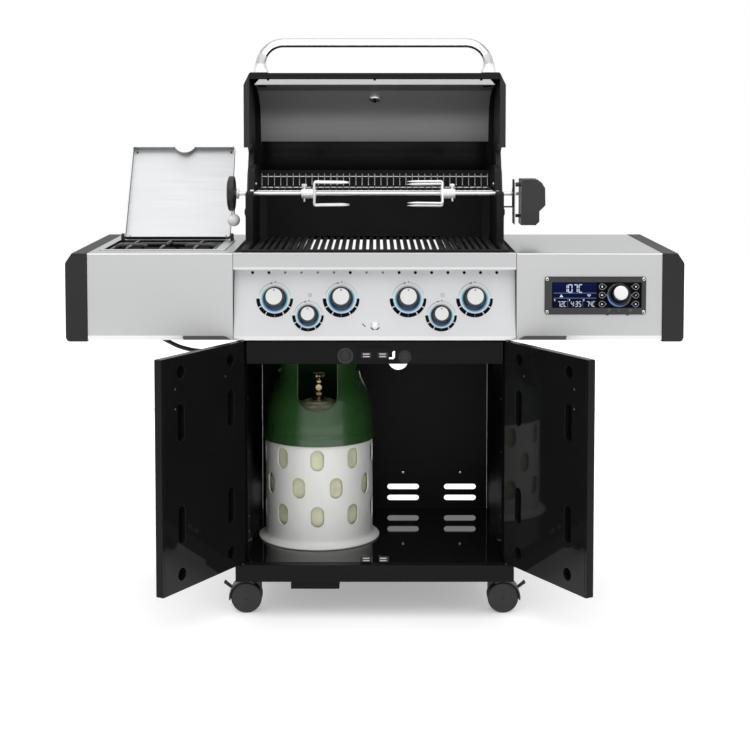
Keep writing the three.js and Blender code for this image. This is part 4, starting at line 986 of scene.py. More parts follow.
km = Bag()
KO = Vector((0, -3.15, 0))
for sx, x in ((1, 578.3), (-1, 664.2)):
    for zi, z in enumerate((859.2, 837.5, 814.9)):
        ring_o, ring_i = [], []
        for i in range(41):
            a = (-318 + 276 * i / 40) * RAD + math.pi * 0
            ring_o.append((x + sx * 7.9 * math.cos(a), z + 7.9 * math.sin(a)))
            ring_i.append((x + sx * 6.9 * math.cos(a), z + 6.9 * math.sin(a)))
        tip_o, tip_i = (x + sx * 11.9, z), (x + sx * 10.4, z)
        lo = [tip_o] + ring_o
        li = [tip_i] + ring_i
        k = len(lo)
        vs = [KO + XV * a + ZV * b + FY * 0.0 for a, b in lo + li] + [KO + XV * a + ZV * b + FY * 0.22 for a, b in lo + li]
        fs = []
        for i in range(k):
            j = (i + 1) % k
            fs += [(i, j, k + j, k + i), (2 * k + i, 3 * k + i, 3 * k + j, 2 * k + j), (i, 2 * k + i, 2 * k + j, j), (k + i, k + j, 3 * k + j, 3 * k + i)]
        km.add(vs, fs, 0)
        mark = {0: [(-1.5, -2.6), (1.5, -2.6), (1.5, 2.6), (-1.5, 2.6)], 1: [(-2.8, -1.2), (2.8, -2.0), (2.8, 0.3), (-0.4, 2.2), (-2.8, 1.8)], 2: [(-2.4, -2.2), (2.4, -1.6), (1.8, 0.8), (-1.2, 2.2)]}[zi]
        if sx < 0 and zi == 0:
            mark = circle(0, 0, 2.3, 12)
        if sx < 0 and zi == 1:
            mark = [(-2.6, -2.2), (-1.6, -2.6), (2.8, 1.6), (1.8, 2.4)]
        flat_poly(km, KO, XV, ZV, FY, [(x + a, z + b) for a, b in mark], 0.0, 0.22, 1)
piece("controller_keys", km, ["key_mark", "lcd_digit"], "cart")

fm = Bag()
DO = Vector((0, -3.6, 0))
for x in (596.4, 650.0):
    arc_band(fm, DO + XV * x + ZV * 799.4, XV, ZV, FY, 0, 359.9, 2.5, 2.5, 3.4, 3.4, 0.0, 0.2, 0, 20)
arc_band(fm, DO + XV * 623.6 + ZV * 799.4, XV, ZV, FY, 90, 270, 2.3, 2.3, 3.2, 3.2, 0.0, 0.2, 0, 14)
piece("controller_marks", fm, ["mark_grey"], "cart")
sc = Bag()
for x, z in ((438.6, 878.4), (684.0, 878.4), (438.6, 794.6), (684.0, 794.6)):
    sc.lathe([(2.2, 1.1), (2.3, 2.0), (3.2, 2.1), (4.3, 1.4), (4.7, 0.4), (4.7, -0.2)], (x, -3.6, z), (0, -1, 0), 28, 0)
    sc.lathe([(0, 1.1), (2.25, 1.1)], (x, -3.6, z), (0, -1, 0), 6, 1)
piece("controller_screws", sc, ["chrome", "chrome_dark"], "cart")
tab = Bag()
for x in (592.4, 643.6):
    tab.prism(round_rect(x - 3.4, x + 3.4, 785.6, 789.4, 1.2, 4), -2.6, -0.3, "xz")
piece("controller_ports", tab, ["black_soft"], "cart", edge=0.3)

dc = Vector((622, -3.15, 838.5))
dr = Bag()
dr.lathe([(20.5, 0.0), (21.5, 2.2), (25.0, 2.9), (28.4, 2.7), (29.8, 1.8), (30.2, 0.0)], dc, FY, 96, 0)
piece("dial_base", dr, ["black_gloss"], "cart")
cres = Bag()
arc_band(cres, dc, XV, ZV, FY, 176, 236, 29.0, 25.6, 30.4, 30.9, 0.1, 3.1, 0, 24)
arc_band(cres, dc, XV, ZV, FY, 236, 306, 25.6, 29.4, 30.9, 30.4, 0.1, 3.1, 0, 24)
piece("dial_glow", cres, ["dial_glow"], "cart", origin=dc)
thin = Bag()
arc_band(thin, dc, XV, ZV, FY, 112, 178, 29.2, 28.9, 30.0, 30.3, 0.1, 3.05, 0, 24)
arc_band(thin, dc, XV, ZV, FY, 304, 362, 29.0, 29.3, 30.3, 30.0, 0.1, 3.05, 0, 24)
piece("dial_arc", thin, ["mark_grey"], "cart")
# axis of the dial is tipped a little, like the knobs
tipd = Vector((0, -math.cos(LEAN), math.sin(LEAN)))
dialc = Vector((622, 0, 838.5))
kb = Bag()
fluted(kb, [(0, 9.4, 0), (18.2, 9.4, 0), (19.0, 10.2, 0), (19.6, 12, 0.0), (19.5, 13.4, 0.35), (18.7, 30.4, 0.35), (18.5, 31.8, 0), (17.8, 33.0, 0), (0, 33.0, 0)],
       dialc, tipd, V_P, 120, 30, 0)
kb.lathe([(17.6, 32.6), (17.9, 33.0), (17.4, 34.2), (15.8, 35.2), (12.6, 35.6), (0, 35.4)], dialc, tipd, 96, 1, up=V_P)
piece("controller_dial", kb, ["satin_dark", "dial_white"], "dial", ["controller_knob"], sharp=50)

# ------------------------------------------------------------------ shelves, end caps
DARK = {"left": -1, "right": 1}
for side, s in DARK.items():
    def mxp(pts):
        return [(s * x, y) for x, y in pts]

    sh = Bag()
    # folded sheet: rolled front edge, flat top, back edge, both ends open inside
    prof = [(0, 722.4), (0, 940.2), (0.9, 942.6), (2.6, 943.8), (5, 944), (569.5, 944), (573, 942.6), (574, 939), (574, 722.4),
            (573.2, 722.4), (573.2, 938), (572, 941.2), (569, 943), (6, 943), (3.2, 942.4), (1.6, 940.6), (0.9, 938), (0.9, 722.4)]
    sh.prism(prof, s * 361.4, s * 731.2, "yz", 0)
    # the front face and its rounded top edge take a darker copy of the shelf steel: painted shade
    sh.m[2] = 1
    sh.m[3] = 1
    cuts = None
    if s < 0:
        cuts = [Bag().box(-707.5, -408.5, 84.5, 367.5, 935, 952)]
    piece("shelf_%s_sheet" % side, sh, ["shelf_steel", "shelf_front"], "cart", ["shelf_%s" % side], edge=0.0, cuts=cuts)
    inn = Bag()
    inn.box(s * 361.6, s * 362.8, 1.0, 573, 724, 942.6, 0)
    inn.box(s * 730.0, s * 731.1, 1.0, 573, 724, 942.6, 0)
    inn.prism([(1.0, 722.2), (20, 722.2), (20, 724), (2.2, 724), (2.2, 730), (1.0, 730)], s * 362, s * 731, "yz", 0)
    inn.prism([(573, 722.2), (554, 722.2), (554, 724), (571.8, 724), (571.8, 730), (573, 730)], s * 362, s * 731, "yz", 0)
    inn.box(s * 344, s * 362, 47, 559, 873, 875, 0)
    inn.box(s * 344, s * 346, 47, 559, 873, 927, 0)
    inn.box(s * 344, s * 362, 47, 559, 925, 927, 0)
    for y in (150, 420):
        if s < 0 and y == 150:
            continue
        inn.prism([(362, 942.6), (362, 916), (366, 912), (726, 912), (730, 916), (730, 942.6), (728, 942.6), (728, 918), (364, 918), (364, 942.6)] if s > 0 else
                  [(-x, z) for x, z in [(362, 942.6), (362, 916), (366, 912), (726, 912), (730, 916), (730, 942.6), (728, 942.6), (728, 918), (364, 918), (364, 942.6)]],
                  y, y + 18, "xz", 0)
    piece("shelf_%s_frame" % side, inn, ["tray_steel"], "cart", edge=0.4)
    # rolled edge along the top in a paler steel, a painted highlight; dark seams at both ends; pale lower band, also a
    # painted highlight
    tr = Bag()
    tr.sweep([(s * 361.6, 1.0, 942.2), (s * 731.0, 1.0, 942.2)], lambda i, t: [(2.1 * math.cos(a * RAD), 2.1 * math.sin(a * RAD)) for a in range(0, 360, 30)], 0)
    tr.box(s * 489.8, s * 731.0, -0.55, 0.4, 722.4, 733.6, 0)
    piece("shelf_%s_edge" % side, tr, ["shelf_band"], "cart")
    dk = Bag()
    dk.box(s * 360.4, s * 361.6, 1.0, 3.4, 722, 943.2, 0)
    dk.box(s * 361.6, s * 731.0, -0.3, 2.2, 943.9, 944.5, 1)
    low = [(366, 722.4), (487, 722.4), (489.5, 732.8), (387, 732.8), (379, 731.2), (372, 727)]
    dk.prism(mxp(low), -0.7, 0.5, "xz", 1)
    piece("shelf_%s_seam" % side, dk, ["void", "seam_grey"], "cart", edge=0.2)
    # plastic end cap: shell with a rolled rim and a paler strip on the outer corner, a painted highlight
    cap = Bag()
    outc = [(731.6, 718), (779, 718), (783.5, 720.4), (787.5, 728), (787.5, 916), (786.6, 919), (771.4, 942.6), (768, 944), (731.6, 944)]
    cap.prism(mxp(outc), -3, 577, "xz", 0)
    hollow = Bag()
    hollow.prism(mxp([(726, 722.5), (778, 722.5), (783, 729), (783, 915), (767.5, 939.5), (726, 939.5)]), 1.2, 572.8, "xz")
    low_open = Bag()
    low_open.box(s * 735.5, s * 775, 6, 568, 700, 724)
    piece("cap_%s_shell" % side, cap, ["cap_plastic"], "cart", ["end_cap_%s" % side], edge=2.2, segments=3, cuts=[hollow, low_open])
    rim = Bag()
    # raised strip round the outer corner, lighter than the face: a painted highlight on the corner
    ridge = [(-2.2, 0), (-1.6, 0.8), (1.6, 0.8), (2.2, 0)]
    rim.prism(mxp([(768.6, 943.2), (786.9, 917.0), (787.6, 917.0), (787.6, 919.0), (770.4, 944.2), (768.6, 944.2)]), 0.5, 573.5, "xz", 0)
    piece("cap_%s_bevel" % side, rim, ["cap_edge_painted_highlight"], "cart", edge=0.4)
    ribs = Bag()
    for y in (120, 245, 370, 495):
        ribs.box(s * 733, s * 781, y, y + 2.4, 724, 930, 0)
    piece("cap_%s_ribs" % side, ribs, ["cap_plastic"], "cart")
    line = Bag()
    line.box(s * 731.15, s * 731.75, 0.0, 574, 722, 944.0, 0)
    piece("cap_%s_gap" % side, line, ["void"], "cart")

# ------------------------------------------------------------------ side burner
bowl = Bag()
bowl.prism(round_rect(-714, -386, 74, 376, 5, 4), 944.3, 946.4, "xy")
bo = piece("side_burner_frame", bowl, ["shelf_steel"], "cart", ["side_burner_bowl"], edge=0.6,
           cuts=[Bag().prism(round_rect(-703.5, -412.5, 88.5, 363.5, 9, 5), 940, 950, "xy")])
bs_ = Bag()
rr0, rr1 = round_rect(-705.5, -410.5, 86.5, 365.5, 10, 5), round_rect(-703.5, -412.5, 88.5, 363.5, 9, 5)
bot0, bot1 = round_rect(-698, -418, 94, 358, 16, 5), round_rect(-696, -420, 96, 356, 15, 5)
k = len(rr0)
rows = [(rr0, 945.6), (rr0, 930), (bot0, 901), ([(x * 0.98 - 11.2, y * 0.98 + 4.5) for x, y in bot0], 900)]
vs = [(x, y, z) for ring, z in rows for x, y in ring]
fs = [(i + r * k, (i + 1) % k + r * k, (i + 1) % k + (r + 1) * k, i + (r + 1) * k) for r in range(3) for i in range(k)]
fs.append([i + 3 * k for i in range(k)][::-1])
rows = [(rr1, 946.0), (rr1, 930), (bot1, 903.6), ([(x * 0.98 - 11.2, y * 0.98 + 4.5) for x, y in bot1], 903.0)]
b0 = len(vs)
vs += [(x, y, z) for ring, z in rows for x, y in ring]
fs += [(b0 + i + r * k, b0 + i + (r + 1) * k, b0 + (i + 1) % k + (r + 1) * k, b0 + (i + 1) % k + r * k) for r in range(3) for i in range(k)]
fs.append([b0 + i + 3 * k for i in range(k)])
fs += [(i, b0 + i, b0 + (i + 1) % k, (i + 1) % k) for i in range(k)]
bs_.add(vs, fs, 0)
piece("side_burner_basin", bs_, ["enamel"], "cart")
bn = Bag()
bc = (-558, 215, 0)
bn.lathe([(0, 903), (46, 903), (46, 905), (43, 909), (42, 912), (42, 922), (40.5, 925.5), (38, 926), (36, 926), (35.5, 924)], bc, (0, 0, 1), 64, 0)
bn.lathe([(34.5, 924), (35.5, 926.4), (35, 929), (32.5, 931), (20, 931.6), (0, 931.8)], bc, (0, 0, 1), 64, 1)
# ports round the burner head as near-black studs: painted shade in the holes
for i in range(28):
    a = 2 * math.pi * i / 28
    c, s_ = math.cos(a), math.sin(a)
    bn.rod((-558 + 41.2 * c, 215 + 41.2 * s_, 918), (-558 + 42.6 * c, 215 + 42.6 * s_, 918), 1.7, 2, 8)
bn.rod((-498, 215, 903), (-498, 215, 921), 3.4, 3, 14)
bn.rod((-498, 215, 921), (-498, 215, 926), 1.0, 4, 10)
piece("side_burner_head", bn, ["brass", "iron", "void", "button_white", "chrome"], "cart", sharp=30)

gr = Bag()


def bar_section(w, h, r=1.6):
    pts = []
    for cx_, cz_, a0 in ((w / 2 - r, h / 2 - r, 0), (-w / 2 + r, h / 2 - r, 90), (-w / 2 + r, -h / 2 + r, 180), (w / 2 - r, -h / 2 + r, 270)):
        for i in range(3):
            a = (a0 + 45 * i) * RAD
            pts.append((cx_ + r * math.cos(a), cz_ + r * math.sin(a)))
    return pts


sec = bar_section(8, 7)
ringp = [(x, y, 939.5) for x, y in round_rect(-694, -422, 98, 328, 9, 5)]
gr.sweep(ringp, lambda i, t: sec, 0, closed=True)
sf = bar_section(7.6, 9)
for x in (-646, -558, -470):
    for y0, y1 in ((98, 184), (328, 246)):
        d = 1 if y1 > y0 else -1
        gr.sweep([(x, y0, 940), (x, y0 + d * 6, 943), (x, y0 + d * 14, 945.4), (x, y1 - d * 8, 945.6), (x, y1 - d * 2, 944.4), (x, y1, 942.6)],
                 lambda i, t: [(a * (1 if i < 4 else 0.86), b * (1 if i < 4 else 0.8)) for a, b in sf], 0)
for x0, x1 in ((-694, -610), (-422, -506)):
    d = 1 if x1 > x0 else -1
    gr.sweep([(x0, 215, 940), (x0 + d * 6, 215, 943), (x0 + d * 14, 215, 945.4), (x1 - d * 8, 215, 945.6), (x1 - d * 2, 215, 944.4), (x1, 215, 942.6)],
             lambda i, t: [(a * (1 if i < 4 else 0.86), b * (1 if i < 4 else 0.8)) for a, b in sf], 0)
for x in (-693, -423):
    for y in (99, 327):
        gr.lathe([(0, 903.6), (3.2, 903.6), (3.6, 906), (4.2, 936), (0, 937)], (x, y, 0), (0, 0, 1), 14, 0)
piece("side_burner_grille", gr, ["iron"], "cart", ["side_burner_grate"], sharp=50)

# hinge brackets and pin of the side lid
hg = Bag()
for x0, x1 in ((-698, -690.6), (-397.4, -390)):
    hg.prism([(336, 945), (370, 945), (370, 950), (359, 962), (352, 966), (343, 966), (338, 962), (336, 955)], x0, x1, "yz", 0)
piece("side_lid_brackets", hg, ["black_paint"], "cart", edge=0.8)
pn = Bag()
for x in (-694.3, -393.7):
    pn.lathe([(0, -5.2), (3.4, -5.0), (4.4, -4.2), (4.4, 4.2), (3.4, 5.0), (0, 5.2)], (x, 345, 955), (1, 0, 0), 24, 0)
piece("side_lid_pins", pn, ["screw"], "cart")


# ------------------------------------------------------------------ side burner lid, given closed and turned open
def turned(hinge, deg):
    """Closed (x, y, z) to the open place; hinge (y, z), turning about X so that the front rises."""
    a = -deg * RAD
    c, s_ = math.cos(a), math.sin(a)

    def f(p):
        y, z = p[1] - hinge[0], p[2] - hinge[1]
        return (p[0], hinge[0] + y * c - z * s_, hinge[1] + y * s_ + z * c)

    return f


def opened(bag, f):
    bag.v = [f(v) for v in bag.v]
    return bag


SL = turned((345, 955), 125)
x0, x1, y0, y1 = -690, -398, 48, 346
# notch at the front edge, as seen when open along its top
nt_ = []
for a in range(0, 181, 12):
    nt_.append((-541 + 31 * math.cos((a) * RAD), 36 + 31 * math.sin(a * RAD)))
nt_ = [p for p in nt_ if p[1] >= 48.2]


def lid_outline(inset, drop=0.0):
    r = 7
    o = []
    for cu, cv, a0 in ((x1 - inset - r, y1 - inset - r, 0), (x0 + inset + r, y1 - inset - r, 90), (x0 + inset + r, y0 + inset + r, 180)):
        for i in range(6):
            a = (a0 + 18 * i) * RAD
            o.append((cu + r * math.cos(a), cv + r * math.sin(a)))
    for x, y in reversed(nt_):
        dx, dy = x + 541, y - 36
        L = math.hypot(dx, dy)
        k_ = (31 + inset) / 31
        o.append((-541 + dx * k_, max(36 + dy * k_, y0 + inset)))
    cu, cv = x1 - inset - r, y0 + inset + r
    for i in range(6):
        a = (270 + 18 * i) * RAD
        o.append((cu + r * math.cos(a), cv + r * math.sin(a)))
    return o


la, lb, lc_ = lid_outline(0), lid_outline(1.0), lid_outline(2.2)
k = len(la)
vs, fs = [], []
for ring, z in ((la, 949), (la, 964.6), (lb, 967.4), (lc_, 968.5)):
    vs += [(x, y, z) for x, y in ring]
inner = [(lid_outline(1.2), 949), (lid_outline(1.2), 964.0), (lid_outline(2.4), 966.4), (lid_outline(4.4), 967.1)]
for ring, z in inner:
    vs += [(x, y, z) for x, y in ring]
for r in range(3):
    fs += [(i + r * k, (i + 1) % k + r * k, (i + 1) % k + (r + 1) * k, i + (r + 1) * k) for i in range(k)]
    fs += [(4 * k + i + r * k, 4 * k + i + (r + 1) * k, 4 * k + (i + 1) % k + (r + 1) * k, 4 * k + (i + 1) % k + r * k) for i in range(k)]
fs.append([3 * k + i for i in range(k)])
fs.append([7 * k + i for i in range(k)][::-1])
fs += [(i, (i + 1) % k, 4 * k + (i + 1) % k, 4 * k + i) for i in range(k)]
lidb = Bag().add(vs, fs, 0)
piece("side_lid_shell", opened(lidb, SL), ["lid_inside"], "side_lid", ["side_burner_lid"], sharp=30)
# rolled hems along the front edge and the sides
hem = Bag()
rod6 = [(1.9 * math.cos(a * RAD), 1.9 * math.sin(a * RAD)) for a in range(0, 360, 36)]
left_end = min(p[0] for p in nt_) - 2
right_end = max(p[0] for p in nt_) + 2
hem.sweep([(x0 + 6, y0 + 1.6, 950.4), (left_end, y0 + 1.6, 950.4)], lambda i, t: rod6, 0)
hem.sweep([(right_end, y0 + 1.6, 950.4), (x1 - 6, y0 + 1.6, 950.4)], lambda i, t: rod6, 0)
hem.sweep([(x, max(y, y0 + 1.2) + 1.2, 950.2) for x, y in nt_], lambda i, t: [(a * 0.8, b * 0.8) for a, b in rod6], 0)
piece("side_lid_hem", opened(hem, SL), ["shelf_steel"], "side_lid")
hem2 = Bag()
hem2.sweep([(x0 + 1.6, y0 + 8, 950.4), (x0 + 1.6, y1 - 8, 950.4)], lambda i, t: rod6, 0)
hem2.sweep([(x1 - 1.6, y0 + 8, 950.4), (x1 - 1.6, y1 - 8, 950.4)], lambda i, t: rod6, 0)
piece("side_lid_side_hem", opened(hem2, SL), ["shelf_steel"], "side_lid")
lsc = Bag()
for x, y in ((x0 + 13, y1 - 10), (x1 - 13, y1 - 10), (x0 + 12, y0 + 10), (x1 - 12, y0 + 10)):
    lsc.lathe([(0, -3.0), (2.2, -2.8), (3.2, -2.0), (3.4, 0.2)], (x, y, 966.9), (0, 0, 1), 18, 0)
piece("side_lid_screws", opened(lsc, SL), ["chrome_dark"], "side_lid")

# ------------------------------------------------------------------ firebox
SPY, SPZ = 252, 1081.5
fb = Bag()
side_o = [(13, 952), (13, 938), (48, 908), (48, 880), (90, 850), (90, 800), (130, 742), (430, 742), (485, 800), (485, 1128), (478, 1133),
          (430, 1149), (330, 1156), (305, 1153.5), (296, 1150), (288, 1146), (282, 1140), (264, 1094), (262, 1091), (259, 1089.5), (206, 1088), (202, 1086), (200, 1080), (200, 952)]
fb.prism(side_o, -344.5, 344.5, "yz", 0)
fcut = Bag()
fcut.prism([(28, 1300), (28, 931), (62, 903), (62, 888), (103, 858), (103, 804), (137, 752), (424, 752), (470, 806), (470, 1300)], -324, 324, "yz")
fcuts = [fcut]
for s in (1, -1):
    n_ = Bag()
    u = [(SPY - 10.5, 1200), (SPY - 10.5, SPZ)] + [(SPY - 10.5 * math.cos(a * RAD), SPZ - 10.5 * math.sin(a * RAD)) for a in range(15, 180, 15)] + [(SPY + 10.5, SPZ), (SPY + 10.5, 1200)]
    n_.prism(u, s * 318, s * 350, "yz")
    fcuts.append(n_)
    c_ = Bag()
    c_.prism([(s * 333.9, 12), (s * 350, 12), (s * 350, 39)], 700, 1000, "xy")
    fcuts.append(c_)
dr_ = Bag()
dr_.box(-40, 40, 250, 330, 730, 760)
fcuts.append(dr_)
rs_ = Bag()
rs_.box(-186, 186, 464, 492, 905, 948)
fcuts.append(rs_)
piece("firebox_casting", fb, ["cast_in"], "cart", ["firebox"], edge=2.4, segments=3, angle=28, cuts=fcuts)
fx = Bag()
for s in (1, -1):
    fx.prism([(s * 325, 471), (s * 304, 471), (s * 309, 465), (s * 318, 455), (s * 325, 447)], 762, 1118, "xy", 0)
    # mating lip along the ear, ribs outside, bosses for the pivot
    fx.sweep([(s * 342.8, y, z) for y, z in ((208, 1082), (262, 1086), (281, 1134), (298, 1146), (330, 1151), (430, 1144), (478, 1128))],
             lambda i, t: [(-2.2, -2.2), (2.2, -2.2), (2.2, 2.2), (-2.2, 2.2)], 0, up=(1, 0, 0))
    fx.lathe([(5.0, 0), (5.0, 9.5), (4.2, 10.4), (0, 10.4)], (s * 344, 420, 1020), (s, 0, 0), 28, 0)
    fx.box(s * 93, s * 97, 132, 560, 700.5, 744, 0)
    fx.box(s * 84, s * 97, 132, 560, 697.5, 701.2, 0)
    # grid ledge with small steps
    fx.box(s * 318.5, s * 325, 40, 468, 926, 934, 0)
for s in (1, -1):
    fx.box(min(s * 187, s * 324), max(s * 187, s * 324), 462.5, 471, 925, 934, 0)
for x in (-240, -120, 0, 120, 240):
    for z0, z1 in ((815, 1110),) if abs(x) > 190 else ((815, 903), (950, 1110)):
        fx.box(x - 3, x + 3, 484, 489, z0, z1, 0)
fx.box(-325, 325, 484, 488.5, 1108, 1116, 0)
piece("firebox_ribs", fx, ["cast"], "cart", edge=0.7)
fl = Bag()
for s in (1, -1):
    # paler strip along the front edge of the ears, and bolts inside the ears
    fl.sweep([(s * 333, y, z) for y, z in ((201.5, 956), (201.5, 1079))], lambda i, t: [(-5.5, -1.4), (5.5, -1.4), (5.5, 1.4), (-5.5, 1.4)], 0, up=(0, -1, 0))
piece("firebox_ear_edges", fl, ["cast"], "cart", edge=0.6)
bl = Bag()
for s in (1, -1):
    for y, z in ((300, 1105),):
        bl.lathe([(0, 3.6), (3.4, 3.2), (4.6, 1.6), (4.8, 0)], (s * 324, y, z), (-s, 0, 0), 20, 0)
piece("firebox_bolts", bl, ["screw"], "cart")

# front wall: rolled enamel sill with rounded ends in front of the grids
sill = Bag()
sill.sweep([(-318, 36, 938), (-310, 30, 941), (-300, 26.5, 943), (300, 26.5, 943), (310, 30, 941), (318, 36, 938)],
           lambda i, t: [(5 * math.cos(a * RAD), 5.4 * math.sin(a * RAD)) for a in range(0, 360, 24)], 0)
piece("firebox_sill", sill, ["black_gloss"], "cart")

# ------------------------------------------------------------------ cooking grids
for side, s in (("left", -1), ("right", 1)):
    g = Bag()
    barsec = []
    top = [(-4.2, 6.2), (-3.0, 6.6), (3.0, 6.6), (4.2, 6.2), (5.5, 4.0), (5.6, 2.6)]
    bott = [(4.8, -5.2), (3.8, -6.2), (-3.8, -6.2), (-4.8, -5.2), (-5.6, 2.6), (-5.5, 4.0)]
    base_sec = top + bott
    for i in range(17):
        x = s * (9.25 + 18.5 * i)
        ends = {0: 0.66, 1: 0.92}

        def sec_(j, t, n=9):
            k_ = 1.0
            lo = 0.0
            if j in (0, n - 1):
                return [(a * 0.62, b * 0.5 - 1.6) for a, b in base_sec]
            if j in (1, n - 2):
                return [(a * 0.93, b * 0.9 - 0.5) for a, b in base_sec]
            return [(a, b) for a, b in base_sec]

        ys = [36, 38.4, 44, 120, 200, 300, 400, 460, 464]
        g.sweep([(x, y, 941.4) for y in ys], sec_, 0)
    g.box(min(s * 5, s * 318), max(s * 5, s * 318), 38, 48, 931.6, 939.5, 0)
    g.box(min(s * 200, s * 308), max(s * 200, s * 308), 450, 460, 931.6, 939.5, 0)
    g.box(min(s * 311, s * 318), max(s * 311, s * 318), 38, 446, 931.6, 946, 0)
    piece("grid_%s_casting" % side, g, ["grid_iron"], "cart", ["grid_%s" % side], sharp=60)

# ------------------------------------------------------------------ burners and heat plates
bu = Bag()
for x in (-228, -76, 76, 228):
    bu.lathe([(0, 0), (11, 0.4), (13.4, 2.4), (14, 6), (14, 318), (13.4, 321.6), (11, 323.6), (0, 324)], (x, 122, 800), (0, 1, 0), 28, 0)
    # ports along the tubes as near-black studs: painted shade in the holes
    for j in range(24):
        y = 140 + 12.4 * j
        for a in (38, -38):
            bu.rod((x + 13.6 * math.sin(a * RAD), y, 800 + 13.6 * math.cos(a * RAD)), (x + 14.4 * math.sin(a * RAD), y, 800 + 14.4 * math.cos(a * RAD)), 1.2, 1, 6)
    bu.prism([(x - 5, 752.6), (x + 5, 752.6), (x + 5, 790), (x - 5, 790)], 400, 416, "xz", 0)
bu.lathe([(0, 0), (7, 0), (7, 472), (0, 472)], (-236, 432, 800), (1, 0, 0), 20, 0)
for x in (-152, 0, 152):
    bu.prism([(x - 9, 786), (x + 9, 786), (x + 9, 789), (x - 9, 789)], 118, 420, "xz", 0)
piece("burner_tubes", bu, ["burner_steel", "void"], "cart", ["burner_set"])
zg = Bag()
pts = [(-300, 852)]
for x in (-228, -76, 76, 228):
    pts += [(x - 62, 852), (x - 4, 883.0), (x, 884.4), (x + 4, 883.0), (x + 62, 852)]
pts += [(300, 852)]
zg.prism(pts + [(x, z + 2.2) for x, z in reversed(pts)], 116, 452, "xz", 0)
zcuts = []
for x in (-228, -76, 76, 228):
    cb = Bag()
    for sx in (-1, 1):
        for j in range(5):
            y = 140 + j * 68
            cb.box(min(x + sx * 46, x + sx * 56), max(x + sx * 46, x + sx * 56), y, y + 34, 840, 880)
    zcuts.append(cb)
piece("heat_plates", zg, ["burner_steel"], "cart", ["flame_tamers"], edge=0.4, cuts=zcuts)

# ------------------------------------------------------------------ warming rack, thirty-seven wires
wr = Bag()
wr.wire([(-323.2, 301, 1084.9), (323.2, 301, 1084.9)], 3.1, 0, 14)
wr.wire([(-318, 428.5, 1088.3), (318, 428.5, 1088.3)], 2.4, 0, 12)
fe = Bag()
fe.wire([(-318, 437.0, 1118.5), (318, 437.0, 1118.5)], 2.0, 0, 12)
for i in range(37):
    x = -316.8 + 17.6 * i
    wr.wire([(x, 299.4, 1087.6), (x, 330, 1088.6), (x, 400, 1090.6), (x, 424, 1091.5), (x, 430.5, 1092.2)], 1.6, 0, 8)
    fe.wire(spline([(x, 430.6, 1092.3), (x, 433.4, 1095), (x, 434.6, 1101), (x, 434.6, 1127)], 4), 1.6, 0, 8)
for s in (-1, 1):
    wr.wire([(s * 319.4, 301, 1084.9), (s * 319.4, 426, 1088.6)], 2.2, 0, 12)
piece("rack_wires", wr, ["wire"], "cart", ["warming_rack"], sharp=60)
piece("rack_fence_wires", fe, ["wire_dim"], "cart", ["rack_fence"], sharp=60)

# ------------------------------------------------------------------ rotisserie
sp = Bag()
sp.lathe([(0, 0), (4.2, 0.2), (5.2, 1.4), (5.35, 3), (5.35, 768), (4.4, 774), (0, 779)], (-387.6, SPY, SPZ), (1, 0, 0), 28, 0)
sp.lathe([(5.35, 0), (6.2, 0), (6.2, 10), (5.35, 10)], (-347, SPY, SPZ), (1, 0, 0), 28, 0)
sp.lathe([(5.35, 0), (8.0, 0.2), (8.6, 1.0), (8.6, 8.0), (8.0, 8.8), (5.35, 9)], (326, SPY, SPZ), (1, 0, 0), 40, 0)
co_ = Bag()
co_.lathe([(5.7, 0), (9.4, 0.2), (10.3, 1.2), (10.3, 9.2), (9.4, 10), (5.7, 10), (5.7, 0)], (-336, SPY, SPZ), (1, 0, 0), 40, 0)
piece("spit_collar_ring", co_, ["spit_painted_sheen"], "spit", ["spit_collar"], sharp=50)
piece("spit_bar", sp, ["spit_steel"], "spit", ["spit_rod"], sharp=50)
